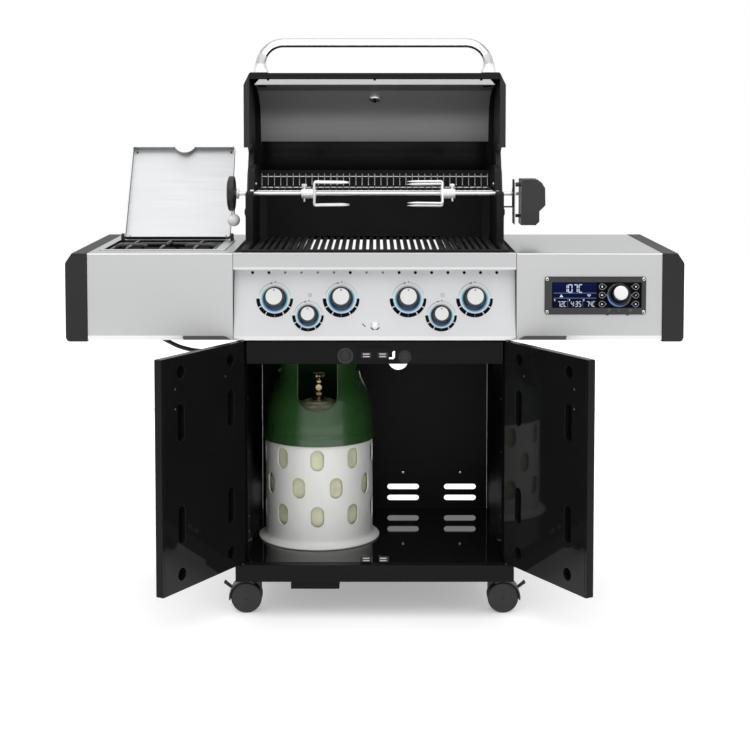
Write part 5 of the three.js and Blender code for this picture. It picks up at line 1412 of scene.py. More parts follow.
for node, xc, d_, tw in (("spit_fork_left", -177.5, 1, 4), ("spit_fork_right", 197, -1, -22)):
    R_ = Matrix.Rotation(tw * RAD, 3, "X")

    def Q(u, v, w):
        q = R_ @ Vector((u * d_, v, w))
        return Vector((xc + q.x, SPY + q.y, SPZ + q.z))

    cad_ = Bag()
    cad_.lathe([(5.5, 0), (12.5, 0), (13.3, 1.0), (13.3, 38), (12.5, 39), (5.5, 39)], (xc - 19.5, SPY, SPZ), (1, 0, 0), 48, 1)
    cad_.rod(Q(-12, 0, 8), Q(-12, 0, 20), 3.4, 0, 16)
    ax = (Q(-12, 0, 26) - Q(-12, 0, 19))
    fluted(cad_, [(0, 0, 0), (6.2, 0, 0), (7.0, 0.9, 0.8), (7.0, 6.0, 0.8), (6.2, 7.0, 0), (0, 7.2, 0)], Q(-12, 0, 19), ax, Vector((1, 0, 0)), 72, 18, 0)
    for v in (-11, 11):
        for w_ in (-1, 1):
            path = [Q(15, v, 0), Q(15, v, w_ * 20), Q(15.0, v, w_ * 27), Q(16.6, v, w_ * 30.2), Q(20, v, w_ * 31.2), Q(30, v * 1.01, w_ * 31), Q(70, v * 1.04, w_ * 30.6), Q(86, v * 1.05, w_ * 30.4)]
            pth = spline(path, 5)
            n_p = len(pth)
            ring12 = [(math.cos(2 * math.pi * j / 12), math.sin(2 * math.pi * j / 12)) for j in range(12)]
            ends = [Q(96, v * 1.05, w_ * 30.4), Q(109.5, v * 1.05, w_ * 30.4)]
            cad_.sweep(pth + ends, lambda i, t, n_p=n_p: [(a * (3.2 if i < n_p else (2.5 if i == n_p else 0.4)), b * (3.2 if i < n_p else (2.5 if i == n_p else 0.4))) for a, b in ring12], 0)
    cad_.rod(Q(15, -12.4, 0), Q(15, 12.4, 0), 3.2, 0, 12)
    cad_.rod(Q(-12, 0, -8), Q(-12, 0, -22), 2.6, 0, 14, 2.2)
    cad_.m = [1] * len(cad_.m)
    piece(node + "_prongs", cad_, ["spit_steel", "spit_painted_sheen"], "spit", ["spit_rod"], sharp=50)
gp = Bag()
prof = [(0, -10.4), (6, -10.8), (14, -12.2), (24, -12.9), (34, -12.2), (42, -10), (46, -8), (47, -6.4), (47, 4), (46, 6.4), (40, 8), (20, 9.5), (5.9, 10)]
fluted(gp, [(r, t, 0.0 if r < 44 or t > 6 else 1.0) for r, t in prof], Vector((-384, SPY, SPZ)), Vector((1, 0, 0)), Vector((0, 0, 1)), 120, 10, 0)
gp.rod((-381, SPY, SPZ - 40), (-381, SPY, SPZ - 60), 4, 1, 18)
gp.lathe([(17 * math.sin(a * RAD), -17 * math.cos(a * RAD)) for a in range(0, 181, 9)], (-380, SPY, SPZ - 71.5), (0, 0, 1), 40, 2)
gp.lathe([(5.9, 0), (13.4, 0.2), (14, 1.0), (14, 5.6), (13.4, 6.4), (5.9, 6.6)], (-372.2, SPY, SPZ), (1, 0, 0), 44, 3)
piece("spit_handle", gp, ["grip_black", "spit_steel", "ball_grey", "spit_painted_sheen"], "spit", ["spit_grip"], sharp=50)

mo = Bag()
mo.prism([(391.5, 999), (430, 999), (440, 1008), (440, 1036), (456, 1052), (455, 1098), (446, 1113), (434, 1121), (391.5, 1121)], 212, 292, "xz", 0)
mcut = Bag().box(435.4, 448, 243, 261, 1008.4, 1030)
vents_ = Bag()
for j in range(7):
    vents_.box(400, 428, 221 + j * 9.2, 225 + j * 9.2, 1119, 1125)
hole = Bag()
hole.lathe([(0, -2), (6.4, -2), (6.4, 12), (0, 12)], (391.5, SPY, SPZ), (1, 0, 0), 24, 0)
piece("motor_housing", mo, ["motor_plastic"], "cart", ["motor"], edge=4.0, segments=4, angle=24, cuts=[mcut, vents_, hole])
ms = Bag()
for yy, zz in ((228, 1106), (276, 1106), (252, 1022)):
    ms.lathe([(0, 0), (4.5, 0), (4.5, 16.5), (6.2, 16.6), (6.2, 18), (0, 18)], (376.2, yy, zz), (1, 0, 0), 24, 0)
piece("motor_spacers", ms, ["black_soft"], "cart")
st = Bag()
st.box(391.0, 395.4, 213.6, 290.4, 1001.5, 1118.5, 0)
piece("motor_strip", st, ["motor_strip"], "cart", edge=0.8)
br = Bag()
br.prism([(345.1, 1044.5), (374, 1044.5), (374, 1047.5), (345.1, 1047.5)], 241, 263, "xz", 1)
br.prism([(371, 1044.5), (374, 1044.5), (374, 1096), (371, 1096)], 238, 266, "xz", 1)
piece("motor_arm", br, ["satin", "black_soft"], "cart", edge=0.5)
bp = Bag()
bp.prism(round_rect(215, 289, 1000, 1120, 9, 5), 373.8, 376, "yz", 0)
piece("motor_plate", bp, ["chrome"], "cart", ["motor_bracket"], edge=0.3,
      cuts=[Bag().lathe([(0, -4), (8, -4), (8, 10), (0, 10)], (372, SPY, SPZ), (1, 0, 0), 28, 0)])
rk = Bag()
rot = Matrix.Rotation(7 * RAD, 3, "Y")
prof = [(-2, -8), (2.0, -8), (2.6, -7.4), (1.5, -3), (0.8, 0), (1.5, 3), (2.6, 7.4), (2.0, 8), (-2, 8)]
vs = [rot @ Vector((x, y, z)) + Vector((439.6, 252, 1019.2)) for y in (-7.9, 7.9) for x, z in prof]
k = len(prof)
rk.add(vs, [list(range(k)), list(range(k, 2 * k))[::-1]] + [(i, (i + 1) % k, (i + 1) % k + k, i + k) for i in range(k)], 0)
mk_ = [rot @ Vector((2.15, y, z)) + Vector((439.6, 252, 1019.2)) for y, z in ((-0.5, 3.6), (0.5, 3.6), (0.5, 6.6), (-0.5, 6.6))]
rk.add(mk_ + [p + Vector((0.35, 0, 0)) for p in mk_], [(0, 1, 2, 3), (4, 5, 6, 7), (0, 1, 5, 4), (1, 2, 6, 5), (2, 3, 7, 6), (3, 0, 4, 7)], 1)
piece("motor_rocker", rk, ["red", "button_white"], "rocker", ["motor_switch"], sharp=30)
pin_ = Bag()
pin_.lathe([(1.2, 3.0), (1.5, 4.0), (2.6, 4.0), (3.0, 3.0), (3.0, 0)], (455.4, 252, 1070), (1, 0, 0), 20, 0)
for z in (1012, 1108):
    for y in (222, 282):
        pin_.lathe([(0, 0.4), (2.0, 0.4), (2.4, 0.8), (3.2, 0.6), (3.4, 0)], (430 if z < 1050 else 436, y, 999 if z < 1050 else 1120), (0, 0, -1 if z < 1050 else 1), 18, 0)
piece("motor_screws", pin_, ["chrome_dark"], "cart")

# ------------------------------------------------------------------ lid, given closed and turned open
LH = (420, 1020)
LO = turned(LH, 90)


def sheet_outline(pts, t):
    """Closed outline of a sheet of thickness t, to the left of the path."""
    pts = [Vector((a, b)) for a, b in pts]
    off = []
    for i, p in enumerate(pts):
        d0 = (p - pts[i - 1]).normalized() if i else None
        d1 = (pts[i + 1] - p).normalized() if i < len(pts) - 1 else None
        if d0 is None:
            n_, k_ = Vector((-d1.y, d1.x)), 1
        elif d1 is None:
            n_, k_ = Vector((-d0.y, d0.x)), 1
        else:
            n_ = Vector((-d0.y - d1.y, d0.x + d1.x)).normalized()
            k_ = 1 / max(0.3, n_.dot(Vector((-d0.y, d0.x))))
        off.append(p + n_ * t * k_)
    return [tuple(p) for p in pts], [tuple(p) for p in off]


def soft_path(pts, per=4):
    return [(p.x, p.y) for p in spline([(a, b, 0) for a, b in pts], per)]


skin_path = [(33.4, 958), (33.2, 962)] + soft_path([(33.4, 966), (36, 1010), (54, 1090), (84, 1150), (134, 1200), (226, 1228), (300, 1236), (380, 1230), (446, 1206), (490, 1160), (505, 1100)], 5)
A, B = sheet_outline(skin_path, -1.5)
outer = Bag()
outer.prism(A + B[::-1], -344.6, 344.6, "yz", 0)
piece("lid_outer_sheet", opened(outer, LO), ["skin_steel"], "lid", ["lid_skin"], sharp=20)
A2, B2 = sheet_outline([(a, b) for a, b in B], -1.4)
inner_ = Bag()
inner_.prism(A2 + B2[::-1], -344.4, 344.4, "yz", 0)
piece("lid_inner_sheet", opened(inner_, LO), ["lid_enamel"], "lid", sharp=20)
# front flange of the skin in near-black: painted shade for the flange edge that sits in shadow
fln = Bag()
fln.prism([(32.6, 957.9), (49.6, 957.9), (49.6, 961), (36.0, 961), (36.0, 966), (34.9, 966), (33.0, 962)], -344.6, 344.6, "yz", 0)
piece("lid_front_flange", opened(fln, LO), ["rim_black"], "lid", edge=0.5)

roof_path = soft_path([(64, 960.4), (65.6, 1010), (67, 1024)], 3)[:-1] + soft_path([(67, 1024), (79, 1090)], 3)
wall_path = soft_path([(79, 1090), (104, 1150), (140, 1193), (227, 1215)], 6)
lin_path = roof_path[:-1] + wall_path
A, B = sheet_outline(lin_path, -1.6)
k_ = len(roof_path)
li = Bag()
# the roof part takes a darker copy of the liner steel: painted shade
li.prism(A[:k_] + B[:k_][::-1], -331, 331, "yz", 1)
li.prism(A[k_ - 1:] + B[k_ - 1:][::-1], -331, 331, "yz", 0)
piece("lid_liner_sheet", opened(li, LO), ["liner_steel", "liner_roof_painted_shade"], "lid", ["lid_liner"], sharp=14)
stp = Bag()
stp.add([(-331, 64.6, 957.8), (331, 64.6, 957.8), (318, 50.2, 957.8), (-318, 50.2, 957.8),
         (-331, 64.6, 960.2), (331, 64.6, 960.2), (318, 50.2, 960.2), (-318, 50.2, 960.2)],
        [(0, 1, 2, 3), (4, 7, 6, 5), (0, 4, 5, 1), (1, 5, 6, 2), (2, 6, 7, 3), (3, 7, 4, 0)], 0)
piece("lid_rim_strip", opened(stp, LO), ["strip_steel"], "lid", edge=0.4)
# near-black notches and oblong holes at the rim strip: painted shade in the holes
ob_ = Bag()
for s in (-1, 1):
    ob_.prism([(s * 321, 67.0), (s * 299, 67.4), (s * 299, 72.4), (s * 318, 71.4), (s * 323, 69)], 957.6, 961.5, "xy", 0)
    for x in (293, ):
        ob_.lathe([(0, 0.9), (2.6, 0.7), (3.6, 0)], (s * x, 50.6, 957.8), (0, 0, -1), 16, 0)
ob_.lathe([(0, 0.9), (2.6, 0.7), (3.6, 0)], (0, 50.6, 957.8), (0, 0, -1), 16, 0)
piece("lid_rim_notches", opened(ob_, LO), ["void"], "lid")

# end caps
edge_ = [(28, 956.5), (31, 1012), (49, 1093), (80, 1154), (131, 1206), (225, 1234), (300, 1242), (381, 1236), (450, 1212), (495, 1164), (511, 1104)]
edge_ = [edge_[0]] + soft_path(edge_[1:], 5) + [(504, 1096), (462, 1062)]
back_ = soft_path([(446, 1014), (433, 998), (415, 995), (399, 1005), (394, 1022), (398, 1036)], 4)
arc_ = []
for i in range(25):
    a = (32 - 51 * i / 24) * RAD
    arc_.append((420 - 192.8 * math.cos(a), 1020 + 192.8 * math.sin(a)))
arc_[-1] = (237.6, 956.5)
for side, s in DARK.items():
    cp = Bag()
    cp.prism([*edge_, *back_, *arc_], s * 345.2, s * 360.8, "yz", 0)
    cc = Bag()
    cc.prism([(s * 345, 20), (s * 345, 33), (s * 361.2, 66), (s * 366, 66), (s * 366, 20)], 900, 1100, "xy")
    opened(cp, LO)
    opened(cc, LO)
    piece("lid_cap_%s_casting" % side, cp, ["lid_cast"], "lid", ["lid_cap_%s" % side], edge=2.6, segments=3, angle=30, cuts=[cc])
    rb = Bag()
    # inner rib against the skin in a darker copy of the cap casting, painted shade inside the lid, and a thin raised
    # border outside
    inn_ = [(36.5, 958.5), (39, 1011), (57, 1089), (86, 1147), (135, 1198), (226, 1225.5), (300, 1233.5), (379, 1227.5), (443, 1204), (486, 1159)]
    A, B = sheet_outline(soft_path(inn_, 4), -9)
    rb.prism(A + B[::-1], s * 335, s * 345.5, "yz", 0)
    piece("lid_cap_%s_rib" % side, opened(rb, LO), ["lid_cast_painted_shade"], "lid", edge=0.8)
    bd = Bag()
    ring_ = [(a * 1.0, b) for a, b in soft_path([(58, 1088), (88, 1146), (137, 1194), (226, 1221), (300, 1229), (378, 1223), (440, 1200), (478, 1156)], 5)]
    bd.sweep([(s * 361.0, a, b) for a, b in ring_], lambda i, t: [(-1.6, -1.6), (1.6, -1.6), (1.6, 1.6), (-1.6, 1.6)], 0, up=(1, 0, 0))
    bd.lathe([(0, 4.4), (7.5, 4.2), (9.6, 3.0), (10.2, 0)], (s * 360.2, 420, 1020), (s, 0, 0), 32, 0)
    piece("lid_cap_%s_border" % side, opened(bd, LO), ["lid_cast"], "lid")
    bt = Bag()
    for yy, zz in ((44, 985), (70, 1122), (230, 1214), (420, 1208)):
        bt.lathe([(0, 2.6), (3.0, 2.4), (4.0, 1.2), (4.2, 0)], (s * 344.8, yy + 12, zz - 6), (-s, 0, 0), 6, 0)
    piece("lid_cap_%s_bolts" % side, opened(bt, LO), ["chrome_dark"], "lid")

# black pads behind the handle feet
pd = Bag()
for s in (-1, 1):
    pd.prism([(30.3, 984), (33.6, 980), (36.0, 1030), (31.6, 1030)], s * 296, s * 344.9, "yz", 0)
piece("handle_pads", opened(pd, LO), ["rim_black"], "lid", edge=0.6)

# bail handle
hx, hy, rc, hz = 317, -50.8, 64, 1005
path = [(-hx, 20, hz), (-hx, 10, hz)]
for i in range(13):
    a = 7.5 * i * RAD
    path.append((-hx + rc - rc * math.cos(a), hy + rc - rc * math.sin(a), hz))
for i in range(1, 16):
    path.append((-hx + rc + (2 * (hx - rc)) * i / 16, hy, hz))
for i in range(13):
    a = (90 - 7.5 * i) * RAD
    path.append((hx - rc + rc * math.cos(a), hy + rc - rc * math.sin(a), hz))
path += [(hx, 10, hz), (hx, 20, hz)]
hb = Bag()
NS = 40
n_p = len(path)


def hsec(i, t):
    d = min(i, n_p - 1 - i)
    k_ = {0: 1.24, 1: 1.20, 2: 1.15, 3: 1.12, 4: 1.08, 5: 1.05, 6: 1.03, 7: 1.01}.get(d, 1.0)
    return [(12.5 * k_ * math.cos(2 * math.pi * j / NS), 12.5 * math.sin(2 * math.pi * j / NS)) for j in range(NS)]


hb.sweep(path, hsec, 0)
# faces of the bar take chrome copies by angle round the section: a painted grey reflection on top, a painted white
# highlight in the middle, a painted dark reflection below, and painted shade in greyer satin near the legs
for i in range(n_p - 1):
    d = min(i, n_p - 2 - i)
    for j in range(NS):
        ph_ = (j + 0.5) * 360 / NS
        a_top = min(ph_, 360 - ph_)
        a_bot = abs(ph_ - 180)
        m_ = 0
        if d <= 3:
            m_ = 3
        elif d <= 5:
            m_ = 3 if a_top > 30 and a_bot > 30 else (1 if a_top <= 30 else 2)
        elif a_top < 52:
            m_ = 1
        elif a_bot < 56:
            m_ = 2
        hb.m[i * NS + j] = m_
piece("handle_bar", opened(hb, LO), ["chrome_painted_highlight", "chrome_painted_grey_reflection", "chrome_painted_dark_reflection", "satin_leg_painted_shade"], "lid", ["lid_handle"], sharp=60)
hf = Bag()
for s in (-1, 1):
    rows = []
    N_ = 48
    for y_, w_, h_, p_ in ((6, 15.8, 13.2, 2.0), (12, 16.2, 13.6, 2.2), (18, 17.2, 14.6, 2.8), (24, 19.0, 16.0, 3.6), (30, 20.6, 17.0, 5.0), (33.6, 21.0, 17.0, 6.0)):
        row = []
        for j in range(N_):
            a = 2 * math.pi * j / N_
            c, s_ = math.cos(a), math.sin(a)
            f = (abs(c) ** p_ + abs(s_) ** p_) ** (-1 / p_)
            row.append((s * 317 - s * 1.4 * (y_ > 20) + w_ * c * f, y_, 1005 + h_ * s_ * f))
        rows.append(row)
    vs = [v for r in rows for v in r]
    fs = []
    for r in range(len(rows) - 1):
        for j in range(N_):
            q = (j + 1) % N_
            fs.append((r * N_ + j, r * N_ + q, (r + 1) * N_ + q, (r + 1) * N_ + j))
    fs.append([j for j in range(N_)])
    fs.append([(len(rows) - 1) * N_ + j for j in range(N_)][::-1])
    hf.add(vs, fs, 0)
piece("handle_feet", opened(hf, LO), ["satin_white"], "lid", sharp=50)

# thermometer: dial outside, probe inside
tn = Vector((0, -0.85, 0.527)).normalized()
tc_ = Vector((0, 84, 1150))
th = Bag()
th.lathe([(0, 3.2), (37, 3.2), (38, 4.2), (38, 9), (36.5, 11.2), (34, 12), (32.4, 11.0), (32, 9.4)], tc_, tn, 72, 0)
th.lathe([(32.2, 9.4), (0, 9.4)], tc_, tn, 72, 1)
th.rod(tc_ + tn * 5, tc_ - tn * 34, 4.4, 3, 20, 4.0)
th.lathe([(4.4, -31.0), (9, -30.6), (13.5, -29.2), (16.4, -26.6), (17.6, -23.4), (17.4, -20.6), (5, -19.8)], tc_, tn, 44, 0)
vs_ = tc_ + tn * 9.6
ux = Vector((1, 0, 0))
vx = tn.cross(ux).normalized()
for i in range(25):
    a = (-220 + 260 * i / 24) * RAD
    d_ = ux * math.cos(a) - vx * math.sin(a)
    w_ = ux * math.sin(a) + vx * math.cos(a)
    L = 5.4 if i % 4 == 0 else 3.0
    hw = 0.55 if i % 4 == 0 else 0.3
    q = [vs_ + d_ * (30 - L) - w_ * hw, vs_ + d_ * 30 - w_ * hw, vs_ + d_ * 30 + w_ * hw, vs_ + d_ * (30 - L) + w_ * hw]
    th.add(q + [p + tn * 0.3 for p in q], [(0, 1, 2, 3), (4, 7, 6, 5), (0, 4, 5, 1), (1, 5, 6, 2), (2, 6, 7, 3), (3, 7, 4, 0)], 3)
d_ = ux * math.cos(215 * RAD) - vx * math.sin(215 * RAD)
w_ = ux * math.sin(215 * RAD) + vx * math.cos(215 * RAD)
q = [vs_ - d_ * 6 - w_ * 0.9, vs_ + d_ * 22, vs_ - d_ * 6 + w_ * 0.9]
th.add([p + tn * 0.5 for p in q] + [p + tn * 1.1 for p in q], [(0, 1, 2), (5, 4, 3), (0, 3, 4, 1), (1, 4, 5, 2), (2, 5, 3, 0)], 4)
th.lathe([(0, 2.2), (2.0, 2.0), (2.8, 0.6), (2.8, 0)], vs_, tn, 20, 0)
piece("thermometer", opened(th, LO), ["satin", "button_white", "probe_steel", "ink", "red"], "lid", ["lid_thermometer"], sharp=40)

# ------------------------------------------------------------------ doors, given closed and turned open
for side, s in DARK.items():
    a_ = s * 120 * RAD
    c0, s0 = math.cos(a_), math.sin(a_)

    def swing(p, s=s, c0=c0, s0=s0):
        x, y = p[0] - s * 338, p[1]
        return (s * 338 + x * c0 - y * s0, x * s0 + y * c0, p[2])

    d = Bag()
    rr = round_rect(2, 348, 142.5, 718, 3, 3)
    d.prism([(s * x, z) for x, z in rr], -20, 0, "xz", 0)
    dcuts = []
    for x in (287, 79):
        for z in (678, 182.5):
            dcuts.append(Bag().prism(circle(s * x, z, 15.5, 40), -12, 5, "xz"))
        for z in (555.5, 304.7):
            dcuts.append(Bag().prism(slot_shape(s * x, z, 27, 92, 14), -12, 5, "xz"))
    opened(d, swing)
    for c_ in dcuts:
        opened(c_, swing)
    piece("door_%s_leaf" % side, d, ["door_black"], "%s_door" % side, ["door_%s" % side], edge=1.3, segments=3, cuts=dcuts)
    # near-black plates on the floor of the door recesses: painted shade in the recesses
    pk = Bag()
    for x in (287, 79):
        for z in (678, 182.5):
            pk.prism(circle(s * x, z, 15.3, 36), -11.9, -11.3, "xz", 0)
        for z in (555.5, 304.7):
            pk.prism(slot_shape(s * x, z, 26.6, 91.6, 12), -11.9, -11.3, "xz", 0)
    piece("door_%s_pockets" % side, opened(pk, swing), ["void"], "%s_door" % side)
    ed = Bag()
    # folded free edge: a slightly paler return down the whole side
    ed.prism([(s * 2.2, -19.4), (s * 2.2, -0.6), (s * 0.9, -0.6), (s * 0.9, -19.4)], 144, 716.5, "xy", 0)
    ed.prism([(s * 9.5, 0.1), (s * 10.1, 0.1), (s * 10.1, 0.5), (s * 9.5, 0.5)], 143.5, 717, "xy", 0)
    piece("door_%s_return" % side, opened(ed, swing), ["door_edge"], "%s_door" % side, edge=0.4)
    hd = Bag()
    pts = spline([(s * 36, -46, 589), (s * 60, -46.6, 589), (s * 96, -47, 589), (s * 132, -46.6, 589), (s * 156, -46, 589)], 5)
    hd.sweep(pts, lambda i, t: [((6 if 0 < i < 20 else 4.8) * math.cos(j * 15 * RAD), (6 if 0 < i < 20 else 4.8) * math.sin(j * 15 * RAD)) for j in range(24)], 0)
    for x in (50, 142):
        hd.lathe([(4.5, -42), (4.5, -24), (5.4, -21), (8.2, -20.1), (8.2, -19.7)], (s * x, 0, 589), (0, 1, 0), 28, 0)
    piece("door_%s_handle" % side, opened(hd, swing), ["chrome"], "%s_door" % side)
    sc_ = Bag()
    for x in (79, 287):
        sc_.lathe([(0, 1.3), (2.0, 1.1), (3.0, 0.2), (3.0, 0)], (s * (x - 22), 0, 640), (0, 1, 0), 16, 0)
    sc_.lathe([(0, 1.3), (2.0, 1.1), (3.0, 0.2), (3.0, 0)], (s * 57, 0, 592), (0, 1, 0), 16, 0)
    sc_.lathe([(0, 5), (3.6, 4.8), (4.4, 4.0), (4.4, 0)], (s * 338, 0, 718), (0, 0, 1), 20, 1)
    sc_.lathe([(0, 2.4), (3.6, 2.2), (4.4, 1.4), (4.4, 0)], (s * 338, 0, 142.5), (0, 0, -1), 20, 1)
    piece("door_%s_screws" % side, opened(sc_, swing), ["chrome_dark", "chrome_dark"], "%s_door" % side)

# ------------------------------------------------------------------ cabinet
fr = Bag()
fr.prism([(5, 717), (5, 675.5), (15, 658), (18, 660), (8.6, 676.6), (8.6, 713.4), (45, 713.4), (45, 717)], -327.5, 327.5, "yz", 0)
piece("header_rail", fr, ["rail_black"], "cart", ["front_rail"], edge=0.5,
      cuts=[Bag().prism([(45.3, 693), (51.8, 693), (51.8, 676), (47.5, 671.2), (36.5, 671.2), (36.5, 677), (44.4, 677), (45.3, 678)], -2, 30, "xz")])
pg = Bag()
for x, z, rr_ in ((-75, 681, 21), (77, 679, 17)):
    pg.lathe([(rr_, 2.2), (rr_ + 0.2, 0.4), (rr_ - 1.2, 0), (13.6, 0)], (x, 4.9, z), (0, 1, 0), 56, 0)
    pg.lathe([(13.4, 0.4), (13.0, -1.6), (11.6, -2.6), (4, -2.0), (0, -1.8)], (x, 4.9, z), (0, 1, 0), 48, 1)
    pg.lathe([(0, -2.6), (2.6, -2.4), (3.0, -1.8)], (x, 4.9, z), (0, 1, 0), 20, 0)
piece("header_plugs", pg, ["plug_grey", "black_soft"], "cart")
ca = Bag()
ca.prism(round_rect(-43, 41, 670, 703, 3, 4), 2.5, 5.4, "xz", 0)
for x in (-21.5, 20.5):
    ca.prism(round_rect(x - 13, x + 13, 675.5, 690, 1.5, 3), 2.3, 4, "xz", 1)
piece("catch_plate", ca, ["rail_black", "black_gloss"], "cart", edge=0.5,
      cuts=[Bag().box(36.5, 60, -8, 8, 671.2, 677)])
mg = Bag()
for x in (-21.5, 20.5):
    for z in (679.2, 685.6):
        mg.prism(round_rect(x - 8.5, x + 8.5, z - 1.5, z + 1.5, 0.6, 2), 2.0, 2.6, "xz", 0)
for x in (-22, 22):
    for z in (147.5, 153.6):
        mg.prism(round_rect(x - 8.5, x + 8.5, z - 1.5, z + 1.5, 0.6, 2), 7.2, 9, "xz", 0)
piece("catch_bars", mg, ["bar_white"], "cart")
cb_ = Bag()
for x in (-24, 24):
    cb_.prism(round_rect(x - 13, x + 13, 138.6, 159, 1.6, 3), 8, 20, "xz", 0)
piece("bottom_catches", cb_, ["black_gloss"], "cart", edge=0.6)

bt = Bag()
bt.box(-358, 358, -8, 572, 96, 139.5, 0)
under = Bag().box(-354, 354, -4, 568, 90, 135.5)
piece("base_pan", bt, ["base_black"], "cart", ["base_tray"], edge=1.2, segments=3, cuts=[under])
bx = Bag()
bx.box(-216, -91, 3, 54, 74.5, 136, 0)
bx.box(-214, -93, 1.6, 4, 77, 95, 0)
piece("base_box", bx, ["base_black"], "cart", edge=1.0)
blk = Bag()
for sx in (-1, 1):
    for y in (62, 502):
        blk.prism(round_rect(sx * 303 - 24, sx * 303 + 24, y - 30, y + 30, 4, 4), 95.8, 135.6, "xy", 0)
    for y in (180, 300, 420):
        blk.box(-354, 354, y, y + 3, 112, 136, 0) if sx > 0 else None
piece("base_blocks", blk, ["base_black"], "cart", edge=0.8)
fl_ = Bag()
fl_.box(-327.6, 327.6, 21, 566.6, 139.4, 139.9, 0)
piece("cabinet_floor", fl_, ["floor_gloss"], "cart")

for side, s in DARK.items():
    spn = Bag()
    spn.prism([(s * 328, 24), (s * 350, 24), (s * 350, 571.5), (s * 328, 571.5)], 139.9, 741.4, "xy", 0)
    cuts = []
    inner_cut = Bag()
    inner_cut.box(s * 329.4, s * 348.6, 25.4, 570.1, 100, 741.0)
    if s < 0:
        cuts.append(Bag().lathe([(0, -40), (13, -40), (13, 40), (0, 40)], (s * 339, 100, 692), (1, 0, 0), 32))
    piece("side_%s_wall" % side, spn, ["side_black"], "cart", ["side_panel_%s" % side], edge=0.8, cuts=cuts or None)
    tl = Bag()
    # small lighter bar on the front corner, a painted highlight, and small fixings up the inside
    tl.box(min(s * 318, s * 328), max(s * 318, s * 328), 23.4, 24.4, 196, 197.6, 0)
    piece("side_%s_line" % side, tl, ["corner_painted_highlight"], "cart")
    sp_ = Bag()
    for y, z in ((60, 700), (60, 560), (60, 420), (60, 300), (60, 250), (60, 210), (540, 690), (540, 420), (540, 170), (300, 170), (130, 170)):
        sp_.lathe([(0, 1.4), (1.8, 1.2), (2.6, 0.3), (2.6, 0)], (s * 328, y, z), (-s, 0, 0), 14, 0)
    for y in (90, 300, 510):
        for z in (180, 430, 680):
            sp_.lathe([(0, 1.6), (2.6, 1.4), (3.6, 0.4), (3.8, 0)], (s * 350, y, z), (s, 0, 0), 16, 0)
    piece("side_%s_screws" % side, sp_, ["screw"], "cart")
    if s < 0:
        gm = Bag()
        gm.lathe([(12.6, 12.5), (15.5, 12.5), (16.2, 11.4), (15.2, 10.2), (12.8, 10.2), (12.8, -10.2), (15.2, -10.2), (16.2, -11.4), (15.5, -12.5), (12.6, -12.5), (9.6, -8), (9.0, 0), (9.6, 8), (12.6, 12.5)], (s * 339, 100, 692), (1, 0, 0), 40, 0)
        piece("hose_grommet", gm, ["rubber"], "cart")

bk = Bag()
bk.prism([(-327.6, 139.9), (327.6, 139.9), (327.6, 696), (-327.6, 696)], 567, 571.5, "xz", 0)
bcuts = [Bag().prism(circle(68.5, 577, 29, 48), 560, 580, "xz")]
for x0_, x1_ in ((36.9, 129.5), (202.9, 296.4), (-129.5, -36.9), (-296.4, -202.9)):
    for z in (203, 170.4):
        cu = (x0_ + x1_) / 2
        bcuts.append(Bag().prism(slot_shape(cu, z, 16.4, x1_ - x0_, 8, True), 560, 580, "xz"))
piece("cabinet_back", bk, ["back_upper"], "cart", ["back_panel"], edge=0.3, cuts=bcuts)
bl_ = Bag()
bl_.prism([(-327, 140), (327, 140), (327, 269), (-327, 269)], 566.2, 567.2, "xz", 0)
lc_cuts = []
for x0_, x1_ in ((36.9, 129.5), (202.9, 296.4), (-129.5, -36.9), (-296.4, -202.9)):
    for z in (203, 170.4):
        lc_cuts.append(Bag().prism(slot_shape((x0_ + x1_) / 2, z, 17.4, x1_ - x0_ + 1, 8, True), 560, 580, "xz"))
piece("cabinet_back_lower", bl_, ["back_lower"], "cart", edge=0.2, cuts=lc_cuts)
bsn = Bag()
for x in (-300, -160, 0, 160, 300):
    for z in (690, 420, 150):
        bsn.lathe([(0, 1.5), (2.4, 1.3), (3.4, 0.3), (3.4, 0)], (x, 571.4, z), (0, 1, 0), 14, 0)
for x in (83, 250):
    bsn.lathe([(0, 2.5), (3.4, 2.2), (4.6, 0.6), (4.8, 0)], (x, 566.4, 246), (0, -1, 0), 18, 0)
piece("cabinet_back_screws", bsn, ["screw"], "cart")

# ------------------------------------------------------------------ gas bottle
BX, BY = -152.4, 287
UPZ = (0, 0, 1)


shb = Bag()
zf = 140.3
shb.lathe([(142.5, zf), (164.2, zf), (165, zf + 1.0), (165, zf + 3.4), (163.4, zf + 4.8), (158, zf + 7.0), (152, zf + 9.8), (148.6, zf + 13), (147.2, zf + 17),
           (146.6, zf + 24), (146.5, 300), (146.5, 414.4), (142.5, 414.4)], (BX, BY, 0), UPZ, 192, 0)
shb.lathe([(142.5, zf), (142.5, 414.4)], (BX, BY, 0), UPZ, 192, 0)
wcuts = []
for k_ in range(9):
    for row in range(3):
        a = (k_ * 40 + (20 if row % 2 else 0)) * RAD
        w = Bag().prism(slot_shape(0, 225 + row * 76, 36, 56, 14), -160, -135, "xz")
        c, s_ = math.cos(a), math.sin(a)
        w.v = [(BX + p[0] * c - p[1] * s_, BY + p[0] * s_ + p[1] * c, p[2]) for p in w.v]
        wcuts.append(w)
allw = Bag()
for w in wcuts:
    allw.add(w.v, w.f, 0)
piece("bottle_sleeve", shb, ["white_shell"], "bottle", ["bottle_shroud"], edge=0.8, angle=35, cuts=[allw], sharp=40)
vb = Bag()
vb.lathe([(0, 147), (60, 148.6), (96, 156), (118, 169), (131, 187), (137, 206), (138, 222), (138, 300), (138.6, 301.5), (138.6, 304), (138, 305.5), (138, 424), (136.4, 444), (130, 465),
          (116, 484), (96, 496), (60, 506.4), (41, 508), (40, 509.2), (40, 512.8), (39, 513.6), (0, 513.6)], (BX, BY, 0), UPZ, 128, 0)
